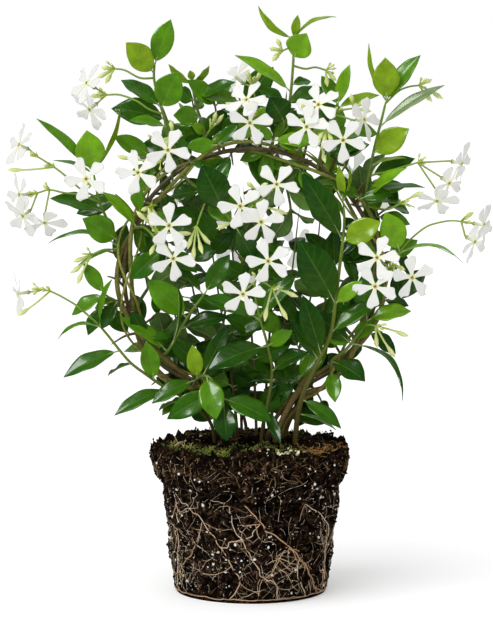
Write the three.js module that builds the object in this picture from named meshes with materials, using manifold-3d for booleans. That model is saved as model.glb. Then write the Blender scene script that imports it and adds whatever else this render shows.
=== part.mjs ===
// Star jasmine trained round a small wire hoop, lifted out of its pot with its root ball bare.
//
// Millimetres, +Z up, the front of the plant towards -Y. The origin is the middle of the root
// ball's flat underside. Every stem starts from the soil or from a vine on the hoop, and carries
// its own leaves, flower stalks and buds as one solid. The open blooms are solids of their own.

import * as THREE from 'three';
import { mergeVertices } from 'three/addons/utils/BufferGeometryUtils.js';
import Module from 'manifold-3d';

const wasm = await Module();
wasm.setup();

// ---------------------------------------------------------------- driving dimensions

const CLEARANCE = 0.3; // kept between neighbouring solids
const MERGE = 0.12; // corners closer than this to a flat or straight run are dropped
const WELD = 0.001; // corners this close are one corner

const SOIL = {
  sides: 28, grain: 0.55, lump: 1.5, mound: 5, level: 100, smoothFoot: 6, rimRelief: 1.6, topRelief: 1.3,
};
// how the relief is read at the rim and on top, so that their crumbs differ from the wall's
const CRUMBS = { rimTurn: 77, rimRings: 2, topTurn: 131, topStep: 60 };
// radius and height of the ball's wall, from its flat foot to the crumbled rim
const SOIL_WALL = [[50.4, 0], [51.8, 4], [53.8, 21], [55.7, 39], [57.6, 57], [59.4, 74],
  [64.2, 77.5], [65.6, 86], [65.2, 95], [62.6, 99]];
const SOIL_TOP_RINGS = [0.84, 0.6, 0.34]; // of the rim's radius

const ROOT = { radius: 0.95, sides: 3, lift: 0.7 };

const HOOP = {
  radius: 85, centre: 213, wire: 1.6, legX: 11, legDepth: 62, opening: 21, arcs: 12, sides: 5, steps: 32,
};

const VINE = { offset: 4.9, twist: 4.1, base: 2.1, end: 1.0, sides: 5, depth: 58, step: 9 };
// soil hole, first and last angle round the hoop (0 is the bottom, 90 the left side), phase
const VINES = [
  { hole: [-19, 9], from: 24, to: 206, phase: 0 },
  { hole: [-17, -9], from: 26, to: 168, phase: 180 },
  { hole: [23, 8], from: 336, to: 176, phase: 90 },
  { hole: [17, -10], from: 334, to: 196, phase: 270 },
];

const STEM = { base: 1.25, end: 0.8, sides: 4 };
const STALK = { radius: 0.7, sides: 3 };
const LEAF = { rib: 1.6, petiole: 0.8, sunk: 1.1, bow: 0.07 };
// distance along a leaf and half width there, as parts of its length and of its half width
const LEAF_OUTLINE = [[0.1, 0.13], [0.35, 0.94], [0.69, 0.8]];
// how a leaf that would cross something is bent clear: its tip moved [back, up], the first that is free
const BENDS = [[0, 0], [-5, 0], [5, 0], [-10, 0], [10, 0], [0, 5], [0, -5], [-5, 5], [5, 5], [-5, -5],
  [5, -5], [-15, 0], [15, 0], [-10, 8], [10, 8], [-10, -8], [10, -8], [-20, 4], [20, 4], [-26, 0], [26, 0],
  [0, 12], [0, -12]];
const CROSSING = 0.05; // a crossing smaller than this many cubic mm counts as clear
// leaves in opposite pairs along a rear shoot: where they start, how far they spread and lean ahead
const PAIRS = { start: 0.22, span: 0.74, spread: 0.84, ahead: 0.5, width: 0.42, shorter: 0.09, behind: 7 };
const BUD = { length: 11, most: 0.8, swell: 0.4, radius: 1.5, foot: 0.8, sunk: 1.2, sides: 3 };
const BLOOM = { reach: 15.2, throat: 2.3, foot: 0.85, tube: 8, thick: 1.2 };

// which way a leaf's upper face looks
const FRONT = [0, -1, 0.3];
const TILTED = [0, -0.62, 0.78];
const UP = [0, -0.2, 1];
const LEFT = [-1, -0.35, 0.2];
const RIGHT = [1, -0.35, 0.2];
const BACK = [0, 1, 0.4];

// ---------------------------------------------------------------- the plant, shoot by shoot
// path: points along the stem after its start, which is a vine on the hoop or a hole in the soil
// leaves: [place along the stem, tip, width, face, bow]
// sprays: a stalk from a place along the stem; its buds and blooms grow from its numbered points
//   buds: [point, tip]   blooms: [point, node, centre, facing]
// pairs, length, turn: a rear shoot's opposite leaves, set by rule: how many pairs, leaf length, first turn

const SHOOTS = {
  shoot_top_left: {
    vine: 0, at: 140, path: [[-54, -4, 297], [-57, -3, 316], [-62, -1, 333], [-64.5, 0, 345],
      [-64, 0, 355]],
    leaves: [[0.97, [-53, -3, 384], 15, FRONT], [0.86, [-83, -8, 369], 17, FRONT],
      [0.5, [-48, -13, 350], 20, FRONT], [0.5, [-87, 9, 343], 13, TILTED],
      [0.36, [-81, -12, 317], 10, TILTED]],
    sprays: [
      { at: 0.46, path: [[-67, -4, 324], [-76, -5, 330], [-87, -5, 334], [-96, -5, 334]],
        buds: [[3, [-107, 3, 333]]],
        blooms: [[3, 'bloom_far_left_top', [-109, -8, 342], [-0.75, -0.5, 0.45]],
          [3, 'bloom_far_left_top', [-107, -10, 324.5], [-0.6, -0.55, -0.5]]] },
      { at: 0.8, path: [[-74, 3, 345], [-84, 5, 350], [-91, 6, 351]],
        buds: [[2, [-100, 6, 352]], [2, [-103, 8, 345]], [2, [-97, 4, 341]]], blooms: [] },
      { at: 0.16, path: [[-60, -10, 290]], buds: [[0, [-89, -16, 294]]],
        blooms: [[0, 'bloom_left_upper', [-54.7, -26, 298.5], [0.1, -0.95, 0.15]],
          [0, 'bloom_left_upper_outer', [-74.7, -22, 283.5], [-0.2, -0.95, 0]]] },
    ],
  },
  shoot_top_left_rear: {
    vine: 1, at: 157, path: [[-31, 8, 308], [-36, 10, 324], [-38.5, 11, 336], [-39, 11, 343]],
    leaves: [[0.9, [-55, 15, 354], 7, LEFT], [0.95, [-28, 13, 353], 7, RIGHT], [1, [-41, 9, 350], 5, FRONT],
      [0.6, [-10, 7, 342], 12, TILTED], [0.4, [-52, 4, 320], 14, FRONT], [0.6, [-47, 21, 337], 12, LEFT]],
    sprays: [{ at: 0.2, path: [[-27, 6, 311]], buds: [[0, [-18, 3, 321]], [0, [-23, 1, 323]]], blooms: [] }],
  },
  shoot_top: {
    vine: 0, at: 192, path: [[22, 1, 314], [26, 2, 331], [28, 2, 354], [28.7, 2, 371]],
    leaves: [[1, [5, 7, 393], 7, LEFT, 0.14], [1, [57, 6, 385], 7, UP, 0.14], [1, [31, -2, 387], 6, FRONT],
      [0.8, [37, -7, 375], 18, FRONT], [0.55, [-11, -3, 360], 11, TILTED], [0.6, [40, 9, 342], 9, TILTED],
      [0.27, [12, -8, 333], 19, FRONT]],
    sprays: [
      { at: 0.74, path: [[36, 4, 351], [43, 5, 352], [50, 6, 350]],
        buds: [[2, [57, 6, 343]], [2, [51, 3, 339]]], blooms: [] },
      { at: 0.93, path: [[21, 3, 363]], buds: [[0, [12, 4, 365]], [0, [17, 5, 371]],
        [0, [14, 1, 356]]], blooms: [] },
    ],
  },
  shoot_top_centre: {
    vine: 2, at: 184, path: [[7, 9, 309], [5, 8, 321], [3, 8, 331]],
    leaves: [[0.42, [-20, 2, 324], 12, TILTED], [0.36, [30, 14, 324], 12, TILTED]],
    sprays: [
      { at: 0.5, path: [[3, -1, 320]], buds: [],
        blooms: [[0, 'bloom_top_centre', [-0.7, -17, 316], [0, -0.95, -0.1]],
          [0, 'bloom_top_centre', [-3, -10, 331], [-0.3, -0.7, 0.65]]] },
      { at: 1, path: [[1, 9, 339]], buds: [[0, [-3, 7, 350]], [0, [7, 10, 350]]],
        blooms: [[0, 'bloom_top_rear', [-10, 16, 345], [-0.7, 0.45, 0.55]]] },
    ],
  },
  shoot_top_right_inner: {
    vine: 2, at: 212, path: [[48, 4, 300], [52, 6, 314], [58, 7, 326]],
    leaves: [[1, [66, 5, 354], 9, TILTED], [1, [47, 13, 346], 11, TILTED], [0.95, [86, 10, 333], 9, TILTED],
      [0.62, [32, 16, 318], 14, BACK], [0.45, [74, 9, 306], 13, TILTED]],
    sprays: [
      { at: 0.42, path: [[47, -4, 303]], buds: [[0, [49, -19, 290]]],
        blooms: [[0, 'bloom_upper_right', [36.7, -20, 313.5], [-0.15, -0.95, 0.1]],
          [0, 'bloom_upper_right_front', [60.7, -24, 305], [0.1, -0.97, 0.05]]] },
      { at: 0.78, path: [[55, 2, 321]], buds: [],
        blooms: [[0, 'bloom_upper_right', [44.5, -17, 328], [-0.25, -0.85, 0.4]],
          [0, 'bloom_upper_right_side', [75, -12, 318], [0.75, -0.6, 0.1]]] },
    ],
  },
  shoot_top_right: {
    vine: 2, at: 240, path: [[77, -3, 270], [80.5, -1, 290], [83.3, 0, 303], [86.7, 1, 316], [90, 2, 330]],
    leaves: [[1, [89, -4, 359], 18, FRONT], [0.98, [113, 3, 360], 13, TILTED], [1, [79, 10, 368], 7, LEFT],
      [0.74, [129, 6, 340], 9, TILTED], [0.46, [105, -11, 312], 17, FRONT], [0.36, [104, 4, 291], 7, UP],
      [0.12, [103, -19, 286], 12, TILTED], [0.15, [116, -5, 272], 13, UP], [0.06, [110, 4, 258], 8, UP]],
    sprays: [
      { at: 0.97, path: [[98, 3, 336], [105, 4, 339], [112, 4, 340]],
        buds: [[2, [121, 5, 329]], [2, [128, 3, 331]], [2, [121, 7, 344]]], blooms: [] },
      { at: 0.3, path: [[91, -2, 283], [101, -3, 286], [111, -4, 289]], buds: [],
        blooms: [[2, 'bloom_far_right', [140, -8, 288.5], [0.8, -0.5, -0.2]],
          [2, 'bloom_far_right', [131.5, -13, 276], [0.4, -0.75, -0.4]],
          [2, 'bloom_far_right', [123.5, -12, 264], [0, -0.6, -0.75]]] },
      { at: 0.03, path: [[90, -9, 258], [99, -10, 262]], buds: [[1, [115, -10, 270]]], blooms: [] },
    ],
  },
  shoot_right: {
    vine: 3, at: 268, path: [[90, -3, 221], [95, -8, 225], [99, -10, 230]],
    leaves: [[1, [89, -15, 257], 18, FRONT], [0.85, [141, -4, 222], 7, UP, 0.2],
      [0.4, [112, 8, 236], 14, TILTED]],
    sprays: [
      { at: 1, path: [[106, -9, 238], [116, -8, 246], [124, -8, 249], [133, -8, 250.5], [140, -8, 250]],
        buds: [[4, [149, -2, 256]]],
        blooms: [[4, 'bloom_far_right_low', [154.7, -12, 248], [0.75, -0.6, -0.1]],
          [4, 'bloom_far_right_low', [148.7, -14, 237], [0.3, -0.75, -0.55]]] },
      { at: 0.5, path: [[93, -12, 218]], buds: [],
        blooms: [[0, 'bloom_right', [83.3, -26, 227.5], [-0.2, -0.95, 0.15]],
          [0, 'bloom_right', [82, -28, 208.5], [-0.15, -0.95, -0.1]],
          [0, 'bloom_right_outer', [106.7, -23, 214], [0.35, -0.9, -0.1]]] },
    ],
  },
  shoot_left: {
    vine: 0, at: 98, path: [[-90.5, -3, 240], [-97, -3, 253], [-102, -3, 266], [-105, -3, 283]],
    leaves: [[1, [-109, -9, 311], 20, FRONT], [0.98, [-143, -2, 318], 8, TILTED],
      [1, [-87, 6, 327], 6, RIGHT],
      [0.97, [-132, -3, 290], 7, UP], [0.55, [-134, -7, 265], 15, TILTED],
      [0.2, [-112, -18, 253], 18, FRONT],
      [0.12, [-136, 1, 234], 8, UP, 0.18], [0.1, [-121, 4, 214], 6, UP]],
    sprays: [
      { at: 0.74, path: [[-113, -4, 271], [-122, -5, 279], [-131, -5, 286], [-142, -5, 293]],
        buds: [[2, [-162, -2, 284]]],
        blooms: [[3, 'bloom_far_left_upper', [-154, -8, 301], [-0.8, -0.45, 0.4]]] },
      { at: 0.68, path: [[-113, -6, 267.5], [-124, -7, 269], [-134, -7, 271], [-142, -7, 269]], buds: [],
        blooms: [[3, 'bloom_far_left', [-154, -10, 268], [-0.85, -0.5, 0]],
          [3, 'bloom_far_left', [-151.5, -13, 254], [-0.6, -0.65, -0.45]],
          [2, 'bloom_far_left', [-137, -13, 249.5], [0, -0.6, -0.75]]] },
      { at: 0.9, path: [[-106, -7, 275]], buds: [],
        blooms: [[0, 'bloom_left_outer', [-109, -18, 279], [-0.2, -0.95, 0.2]]] },
      { at: 0.08, path: [[-98, -6, 231], [-106, -7, 228]],
        buds: [[1, [-119, -8, 223]], [1, [-120, -4, 215]], [1, [-116, -8, 208]]], blooms: [] },
    ],
  },
  shoot_left_inner: {
    vine: 1, at: 112, path: [[-71, -8, 246], [-64, -13, 239], [-58, -15, 230]],
    leaves: [[0.12, [-99, -12, 270], 10, TILTED], [0.95, [-80, -14, 212], 15, FRONT],
      [0.6, [-44, -9, 256], 13, TILTED],
      [1, [-36, -14, 216], 13, TILTED]],
    sprays: [
      { at: 0.55, path: [[-62, -19, 243]], buds: [[0, [-76, -20, 258]], [0, [-68, -24, 260]],
        [0, [-39, -22, 243]]],
        blooms: [[0, 'bloom_left_inner', [-54, -30, 249], [0.1, -0.95, 0.1]],
          [0, 'bloom_left_inner', [-51.3, -28, 227], [0, -0.95, -0.15]]] },
    ],
  },
  shoot_upper_inner: {
    vine: 0, at: 146, path: [[-40, -9, 276], [-28, -14, 266], [-17, -16, 256], [-10, -17, 247]],
    leaves: [[0.74, [-33, -21, 289], 22, FRONT], [0.95, [-28, -25, 262], 14, FRONT],
      [0.4, [-53, -17, 266], 14, TILTED],
      [1, [2, -12, 224], 14, FRONT], [0.5, [-14, -8, 290], 13, TILTED]],
    sprays: [
      { at: 0.85, path: [[-10, -21, 252], [2, -20, 262]], buds: [[0, [-23, -18, 246]], [1, [24, -20, 256]]],
        blooms: [[0, 'bloom_centre', [-7, -33, 262], [0, -0.97, 0.1]],
          [0, 'bloom_centre_right', [6.7, -37, 252], [0.15, -0.95, -0.1]],
          [1, 'bloom_centre_top', [17, -27, 276], [0.15, -0.9, 0.35]]] },
    ],
  },
  shoot_middle: {
    hole: [7, -14], path: [[11, -14, 128], [14, -14, 150], [11, -16, 168], [6, -19, 186], [2, -21, 204]],
    leaves: [[0.66, [-29, -27, 152], 21, TILTED], [0.82, [-33, -20, 200], 15, TILTED],
      [0.66, [28, -25, 179], 10, FRONT],
      [0.5, [38, -22, 164], 15, TILTED], [0.84, [30, -12, 214], 14, TILTED],
      [0.3, [20, -34, 104], 8, FRONT],
      [0.45, [-4, -2, 140], 13, UP]],
    sprays: [
      { at: 1, path: [[4, -26, 213], [14, -30, 208]],
        buds: [[1, [31, -32, 202]], [1, [24, -33, 187]], [1, [9, -34, 186]]],
        blooms: [[0, 'bloom_centre_mid', [11.3, -41, 226.5], [0.1, -0.95, 0.1]],
          [0, 'bloom_centre_low', [-5.3, -39, 204.5], [-0.1, -0.95, -0.15]]] },
    ],
  },
  shoot_inner_left: {
    vine: 0, at: 48, path: [[-55, -9, 164], [-47, -11, 178], [-40, -13, 190], [-31, -14, 202]],
    leaves: [[0.66, [-69, -15, 212], 18, FRONT], [0.3, [-49, -20, 211], 7, RIGHT],
      [0.5, [-14, -12, 186], 14, TILTED],
      [0.2, [-88, -10, 186], 12, TILTED], [1, [-14, -8, 228], 13, FRONT], [0.98, [-60, -4, 224], 13, UP]],
    sprays: [],
  },
  shoot_low_front: {
    vine: 1, at: 27, path: [[-36, -12, 145], [-28, -19, 147], [-21, -22, 136], [-18, -23, 129]],
    leaves: [[0.45, [-23, -29, 120], 17, FRONT], [0.98, [-16, -34, 105.5], 16, FRONT],
      [0.85, [14, -31, 118], 18, TILTED],
      [0.68, [-56, -22, 119], 15, FRONT], [0.25, [-39, -19, 169], 11, FRONT],
      [0.38, [-15, -17, 181], 12, FRONT],
      [0.2, [-66, -20, 129], 14, TILTED]],
    sprays: [],
  },
  shoot_lower_left: {
    hole: [-25, -2], path: [[-34, -5, 122], [-47, -7, 132.5], [-58, -9, 139], [-68, -10, 146],
      [-80, -10, 155],
      [-88, -9, 164], [-96, -8, 174], [-102, -8, 181]],
    leaves: [[0.96, [-129, -10, 171], 7, UP, 0.2], [0.97, [-92, -14, 212], 12, LEFT],
      [0.77, [-125, -16, 146], 14, TILTED],
      [0.42, [-91, -20, 121], 12, TILTED], [0.52, [-70, -16, 171], 13, FRONT],
      [0.66, [-96, -1, 145], 12, UP],
      [0.3, [-62, 8, 120], 13, UP]],
    sprays: [
      { at: 1, path: [[-111, -8, 189], [-119, -9, 195.5], [-134, -9, 203.5], [-141, -9, 204]],
        buds: [[2, [-156, -12, 187]]],
        blooms: [[3, 'bloom_far_left_low', [-155, -10, 202], [-0.95, -0.25, -0.1]]] },
    ],
  },
  shoot_left_low: {
    vine: 0, at: 76, path: [[-91, -4, 196], [-98, -5, 201]],
    leaves: [[0.9, [-120, -10, 186], 13, TILTED], [1, [-112, -3, 222], 10, FRONT],
      [0.5, [-104, 9, 188], 12, UP]],
    sprays: [],
  },
  shoot_inner_right: {
    hole: [30, -10], base: 2.1, path: [[33, -13, 128], [37, -15, 141], [45, -17, 158], [53, -18, 176],
      [56, -18, 196],
      [59, -17, 222], [61, -15, 238], [62, -13, 252], [61, -12, 264]],
    leaves: [[0.6, [31, -25, 240], 25, FRONT], [0.8, [33, -21, 284], 18, FRONT],
      [0.79, [86, -20, 251], 17, FRONT],
      [0.6, [74, -24, 212], 10, FRONT], [0.5, [84, -15, 196], 14, TILTED],
      [0.42, [34, -27, 203], 16, FRONT],
      [0.4, [26, -20, 186], 9, FRONT], [1, [58, -14, 288], 6, FRONT], [1, [65, -9, 287], 6, RIGHT],
      [0.22, [60, -26, 113], 11, TILTED], [0.16, [57, -14, 110], 7, UP], [0.9, [42, -10, 276], 12, RIGHT]],
    sprays: [],
  },
  shoot_lower_right: {
    vine: 2, at: 322, path: [[54, -8, 156], [63, -11, 164], [72, -11, 175], [78, -10, 184]],
    leaves: [[0.25, [76, -21, 144], 18, TILTED], [0.12, [56, -22, 130], 11, FRONT],
      [0.6, [101, -13, 130], 9, UP, 0.24],
      [1, [107, -12, 190], 15, TILTED], [0.6, [40, -6, 190], 14, FRONT], [0.98, [74, -6, 214], 14, FRONT]],
    sprays: [
      { at: 0.9, path: [[78, -16, 182], [83, -17, 181]],
        buds: [[1, [84, -18, 166]], [1, [96, -17, 160]], [1, [105, -16, 174]]], blooms: [] },
    ],
  },
  shoot_rear_left: {
    vine: 1, at: 70, path: [[-74, 14, 196], [-64, 21, 210], [-52, 25, 226], [-42, 27, 242]],
    pairs: 3, length: 36, turn: 20, leaves: [],
    sprays: [{ at: 1, path: [[-40, 29, 252]], buds: [[0, [-34, 26, 262]]],
      blooms: [[0, 'bloom_rear_left', [-50, 38, 262], [-0.3, 0.9, 0.2]],
        [0, 'bloom_rear_left', [-30, 40, 248], [0.2, 0.95, -0.1]]] }],
  },
  shoot_rear_top_left: {
    vine: 1, at: 128, path: [[-66, 14, 276], [-60, 20, 288], [-50, 24, 300], [-38, 26, 310]],
    pairs: 3, length: 34, turn: 60, leaves: [],
    sprays: [{ at: 0.6, path: [[-60, 30, 296]], buds: [[0, [-70, 32, 306]]],
      blooms: [[0, 'bloom_rear_top_left', [-68, 38, 288], [-0.3, 0.9, 0]],
        [0, 'bloom_rear_top_left', [-52, 40, 302], [0.1, 0.95, 0.2]]] }],
  },
  shoot_rear_top: {
    vine: 2, at: 192, path: [[18, 14, 292], [22, 22, 278], [26, 27, 262], [28, 30, 246]],
    pairs: 3, length: 36, turn: 40, leaves: [],
    sprays: [{ at: 0.3, path: [[14, 26, 292]], buds: [[0, [2, 26, 300]]],
      blooms: [[0, 'bloom_rear_top', [8, 38, 294], [-0.1, 0.95, 0.1]],
        [0, 'bloom_rear_top', [25, 39, 302], [0.1, 0.95, 0.1]]] }],
  },
  shoot_rear_right: {
    vine: 3, at: 248, path: [[78, 15, 252], [74, 22, 264], [68, 26, 278], [60, 28, 290]],
    pairs: 3, length: 36, turn: 10, leaves: [],
    sprays: [{ at: 0.5, path: [[76, 30, 270]], buds: [[0, [90, 30, 276]]],
      blooms: [[0, 'bloom_rear_right', [82, 38, 262], [0.35, 0.9, 0]],
        [0, 'bloom_rear_right', [70, 40, 280], [0, 0.95, 0.2]]] }],
  },
  shoot_rear_low_right: {
    vine: 3, at: 302, path: [[64, 14, 176], [54, 21, 190], [44, 26, 204], [34, 29, 218]],
    pairs: 3, length: 36, turn: 70, leaves: [],
    sprays: [{ at: 0.9, path: [[38, 33, 222]], buds: [[0, [44, 34, 236]]],
      blooms: [[0, 'bloom_rear_low_right', [48, 42, 216], [0.2, 0.95, 0]],
        [0, 'bloom_rear_low_right', [30, 43, 228], [-0.1, 0.95, 0.2]]] }],
  },
  shoot_rear_middle: {
    hole: [-3, 15], path: [[-10, 18, 128], [-16, 22, 150], [-19, 26, 172], [-16, 29, 192], [-9, 31, 210]],
    pairs: 3, length: 37, turn: 30, leaves: [],
    sprays: [{ at: 1, path: [[-6, 33, 220]], buds: [[0, [4, 33, 232]]],
      blooms: [[0, 'bloom_rear_middle', [-12, 44, 228], [-0.15, 0.95, 0.1]],
        [0, 'bloom_rear_middle', [4, 44, 214], [0.2, 0.95, -0.1]]] }],
  },
  shoot_rear_low_left: {
    vine: 1, at: 40, path: [[-50, 14, 150], [-56, 19, 162], [-60, 22, 176]],
    pairs: 3, length: 36, turn: 0, leaves: [], sprays: [],
  },
};

// surface roots: [turn round the ball, height] points; the first point lies on an earlier root
const ROOTS = [
  [[-92, 3.2], [-80, 2.4], [-70, 2.2], [-61, 2.6], [-50, 2.2], [-40, 2.8], [-28, 2.4], [-16, 3],
  [-4, 2.4], [8, 2.8],
    [20, 2.4], [32, 3], [44, 2.4], [58, 2.8], [72, 2.4], [88, 3.2], [104, 2.4], [120, 3], [136, 2.4],
    [152, 3],
    [168, 2.6], [184, 3], [200, 2.4], [216, 3], [232, 2.4], [250, 3], [268, 3.2]],
  [[58, 2.8], [54, 8], [47, 17], [36, 30], [26, 38], [16, 46], [8, 53], [2, 60], [-4, 67]],
  [[20, 2.4], [17, 14], [9, 17], [3, 27], [-3, 38], [-9, 49], [-13, 56], [-14, 66]],
  [[9, 17], [16, 23], [20, 31], [24, 36.2]],
  [[-16, 3], [-8, 14], [-14, 26], [-20, 38], [-28, 48], [-38, 58], [-50, 66], [-56, 71]],
  [[-20, 38], [-10, 43], [0, 47], [6, 54.6]],
  [[-70, 2.2], [-66, 14], [-64, 30], [-60, 46], [-56, 60], [-58, 70]],
  [[-66, 14], [-54, 24], [-44, 34], [-34, 54]],
  [[44, 2.4], [38, 12], [34, 22], [36, 30]],
  [[72, 2.4], [70, 16], [64, 30], [68, 42], [60, 52], [48, 60], [38, 66]],
  [[104, 2.4], [98, 16], [90, 28], [84, 40], [88, 54], [80, 66]],
  [[136, 2.4], [130, 16], [122, 28], [112, 40], [108, 54], [112, 68]],
  [[168, 2.6], [160, 14], [158, 28], [166, 42], [162, 56], [170, 68]],
  [[200, 2.4], [196, 16], [186, 28], [166, 42]],
  [[232, 2.4], [224, 16], [216, 30], [206, 42], [200, 56], [208, 68]],
  [[250, 3], [254, 18], [262, 32], [258, 46], [266, 58], [262, 70]],
];

// ---------------------------------------------------------------- solids from points and faces

const vec = (p) => new THREE.Vector3(p[0], p[1], p[2]);
const radians = THREE.MathUtils.degToRad;

/** A closed solid from its corner points and triangles, turned so that its faces point out. */
function solid(points, faces) {
  let volume = 0;
  for (const [a, b, c] of faces) {
    volume += points[a].dot(new THREE.Vector3().crossVectors(points[b], points[c]));
  }
  const turned = volume < 0 ? faces.map(([a, b, c]) => [a, c, b]) : faces;
  return new wasm.Manifold(new wasm.Mesh({
    numProp: 3,
    vertProperties: Float32Array.from(points.flatMap((p) => [p.x, p.y, p.z])),
    triVerts: Uint32Array.from(turned.flat()),
  }));
}

/** A closed skin over a row of rings of equal count; an end ring may be one point. */
function loft(rings) {
  const points = rings.flat();
  const faces = [];
  const starts = [];
  let start = 0;
  for (const ring of rings) {
    starts.push(start);
    start += ring.length;
  }
  for (let i = 0; i + 1 < rings.length; i += 1) {
    const [a, b] = [starts[i], starts[i + 1]];
    const [m, n] = [rings[i].length, rings[i + 1].length];
    for (let k = 0; k < Math.max(m, n); k += 1) {
      const j = (k + 1) % Math.max(m, n);
      if (m > 1 && n > 1) {
        faces.push([a + k, a + j, b + j], [a + k, b + j, b + k]);
      } else if (m > 1) {
        faces.push([a + k, a + j, b]);
      } else {
        faces.push([a, b + j, b + k]);
      }
    }
  }
  const last = rings.length - 1;
  for (let k = 1; k + 1 < rings[0].length; k += 1) {
    faces.push([0, k + 1, k]);
  }
  for (let k = 1; k + 1 < rings[last].length; k += 1) {
    faces.push([starts[last], starts[last] + k, starts[last] + k + 1]);
  }
  return solid(points, faces);
}

/** A point on the smooth curve through the given points, at 0 to 1 along it. */
function along(points, t) {
  return new THREE.CatmullRomCurve3(points, false, 'catmullrom', 0.5).getPoint(t);
}

/** The corners of a small ring round a centre, in the plane of its two unit sides. */
function circle(centre, side, other, radius, sides) {
  return Array.from({ length: sides }, (_, k) => {
    const turn = (2 * Math.PI * k) / sides;
    return centre.clone().addScaledVector(side, radius * Math.cos(turn))
      .addScaledVector(other, radius * Math.sin(turn));
  });
}

/** A tapering round stem through the given points. */
function tube(points, { from, to, sides, steps, grow = 0 }) {
  const curve = new THREE.CatmullRomCurve3(points, false, 'catmullrom', 0.5);
  const centres = Array.from({ length: steps + 1 }, (_, i) => curve.getPoint(i / steps));
  let side = new THREE.Vector3(0.31, -0.87, 0.38);
  const rings = centres.map((centre, i) => {
    const ahead = centres[Math.min(i + 1, steps)].clone().sub(centres[Math.max(i - 1, 0)]).normalize();
    side = side.clone().addScaledVector(ahead, -side.dot(ahead)).normalize();
    const other = new THREE.Vector3().crossVectors(ahead, side);
    return circle(centre, side, other, THREE.MathUtils.lerp(from, to, i / steps) + grow, sides);
  });
  return loft(rings);
}

const union = (solids) => wasm.Manifold.union(solids);

// ---------------------------------------------------------------- leaf, bud and bloom

/** A leaf on a short petiole: a blade bowed along its length, keeled below along its midrib. */
function leaf(base, tip, width, face, bow = LEAF.bow, grow = 0, petiole = true) {
  const axis = tip.clone().sub(base);
  const length = axis.length();
  axis.normalize();
  const normal = vec(face);
  normal.addScaledVector(axis, -normal.dot(axis)).normalize();
  const side = new THREE.Vector3().crossVectors(axis, normal);
  const station = ([u, share]) => {
    const half = Math.max(LEAF.petiole, (share * width) / 2) + 2 * grow;
    const lift = bow * length * 4 * u * (1 - u) + LEAF.rib / 3 + grow;
    const middle = base.clone().lerp(tip, u).addScaledVector(normal, lift);
    return [middle.clone().addScaledVector(side, -half), middle.clone().addScaledVector(side, half),
      middle.addScaledVector(normal, -LEAF.rib - 2 * grow)];
  };
  const foot = petiole ? [[base.clone().addScaledVector(axis, -LEAF.sunk)]] : [];
  return loft([...foot, ...LEAF_OUTLINE.map(station), [tip.clone().addScaledVector(axis, grow)]]);
}

/** A furled bud on its own stalk: a slim tube that swells and ends in a point. */
function bud(from, tip, grow = 0) {
  const axis = tip.clone().sub(from);
  const share = Math.min(BUD.most, BUD.length / axis.length());
  axis.normalize();
  const side = new THREE.Vector3(0.4, 0.5, 0.77).cross(axis).normalize();
  const other = new THREE.Vector3().crossVectors(axis, side);
  const ring = (u, radius) => circle(from.clone().lerp(tip, u), side, other, radius + grow, BUD.sides);
  return loft([[from.clone().addScaledVector(axis, -BUD.sunk)], ring(1 - share, BUD.foot),
    ring(1 - BUD.swell * share, BUD.radius), [tip.clone().addScaledVector(axis, grow)]]);
}

// one petal's outline as [distance from the middle, turn in degrees, lift]: narrow foot, slanting blunt end
const PETAL_OUTLINE = [[0.62, -21, 0.02], [0.99, -17, 0.1], [0.93, 15, -0.02], [0.66, 17, -0.04]];
const PETAL_MIDDLE = [0.7, -3];
const PETALS = 5;

/** A star-shaped bloom: five twisted petals on a slim tube, one closed skin. */
function bloom(centre, facing, turn, grow = 0) {
  const axis = vec(facing).normalize();
  const side = new THREE.Vector3(1, 0, 0).addScaledVector(axis, -axis.x).normalize();
  const other = new THREE.Vector3().crossVectors(axis, side);
  const at = (radius, degrees, lift) => {
    const angle = radians(degrees + turn);
    return centre.clone().addScaledVector(side, radius * Math.cos(angle))
      .addScaledVector(other, radius * Math.sin(angle)).addScaledVector(axis, lift);
  };
  const [middleShare, middleSwing] = PETAL_MIDDLE;
  const points = [centre.clone().addScaledVector(axis, grow)];
  const faces = [];
  const perPetal = PETAL_OUTLINE.length + 3;
  const first = (k) => 1 + (k % PETALS) * perPetal;
  for (let k = 0; k < PETALS; k += 1) {
    const heading = (360 / PETALS) * k;
    // the notch between two petals
    points.push(at(BLOOM.throat + grow, heading - 180 / PETALS, -BLOOM.thick));
    for (const [share, swing, lift] of PETAL_OUTLINE) {
      points.push(at(share * BLOOM.reach + grow, heading + swing, lift * BLOOM.reach));
    }
    points.push(at(middleShare * BLOOM.reach, heading + middleSwing, -BLOOM.thick - grow));
    points.push(at(BLOOM.foot + grow, heading - 180 / PETALS, -BLOOM.tube - grow));
  }
  for (let k = 0; k < PETALS; k += 1) {
    const [a, b] = [first(k), first(k + 1)];
    const rim = [a, a + 1, a + 2, a + 3, a + 4, b];
    const [under, foot, nextFoot] = [a + 5, a + 6, b + 6];
    for (let i = 0; i + 1 < rim.length; i += 1) {
      faces.push([under, rim[i + 1], rim[i]]);
    }
    faces.push([0, a, a + 1], [0, a + 1, a + 4], [0, a + 4, b]);
    faces.push([a + 1, a + 2, a + 3], [a + 1, a + 3, a + 4]);
    faces.push([under, a, b], [a, foot, nextFoot], [a, nextFoot, b]);
    if (k > 0 && k + 1 < PETALS) {
      faces.push([first(0) + 6, first(k + 1) + 6, first(k) + 6]);
    }
  }
  return solid(points, faces);
}

// ---------------------------------------------------------------- root ball

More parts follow.
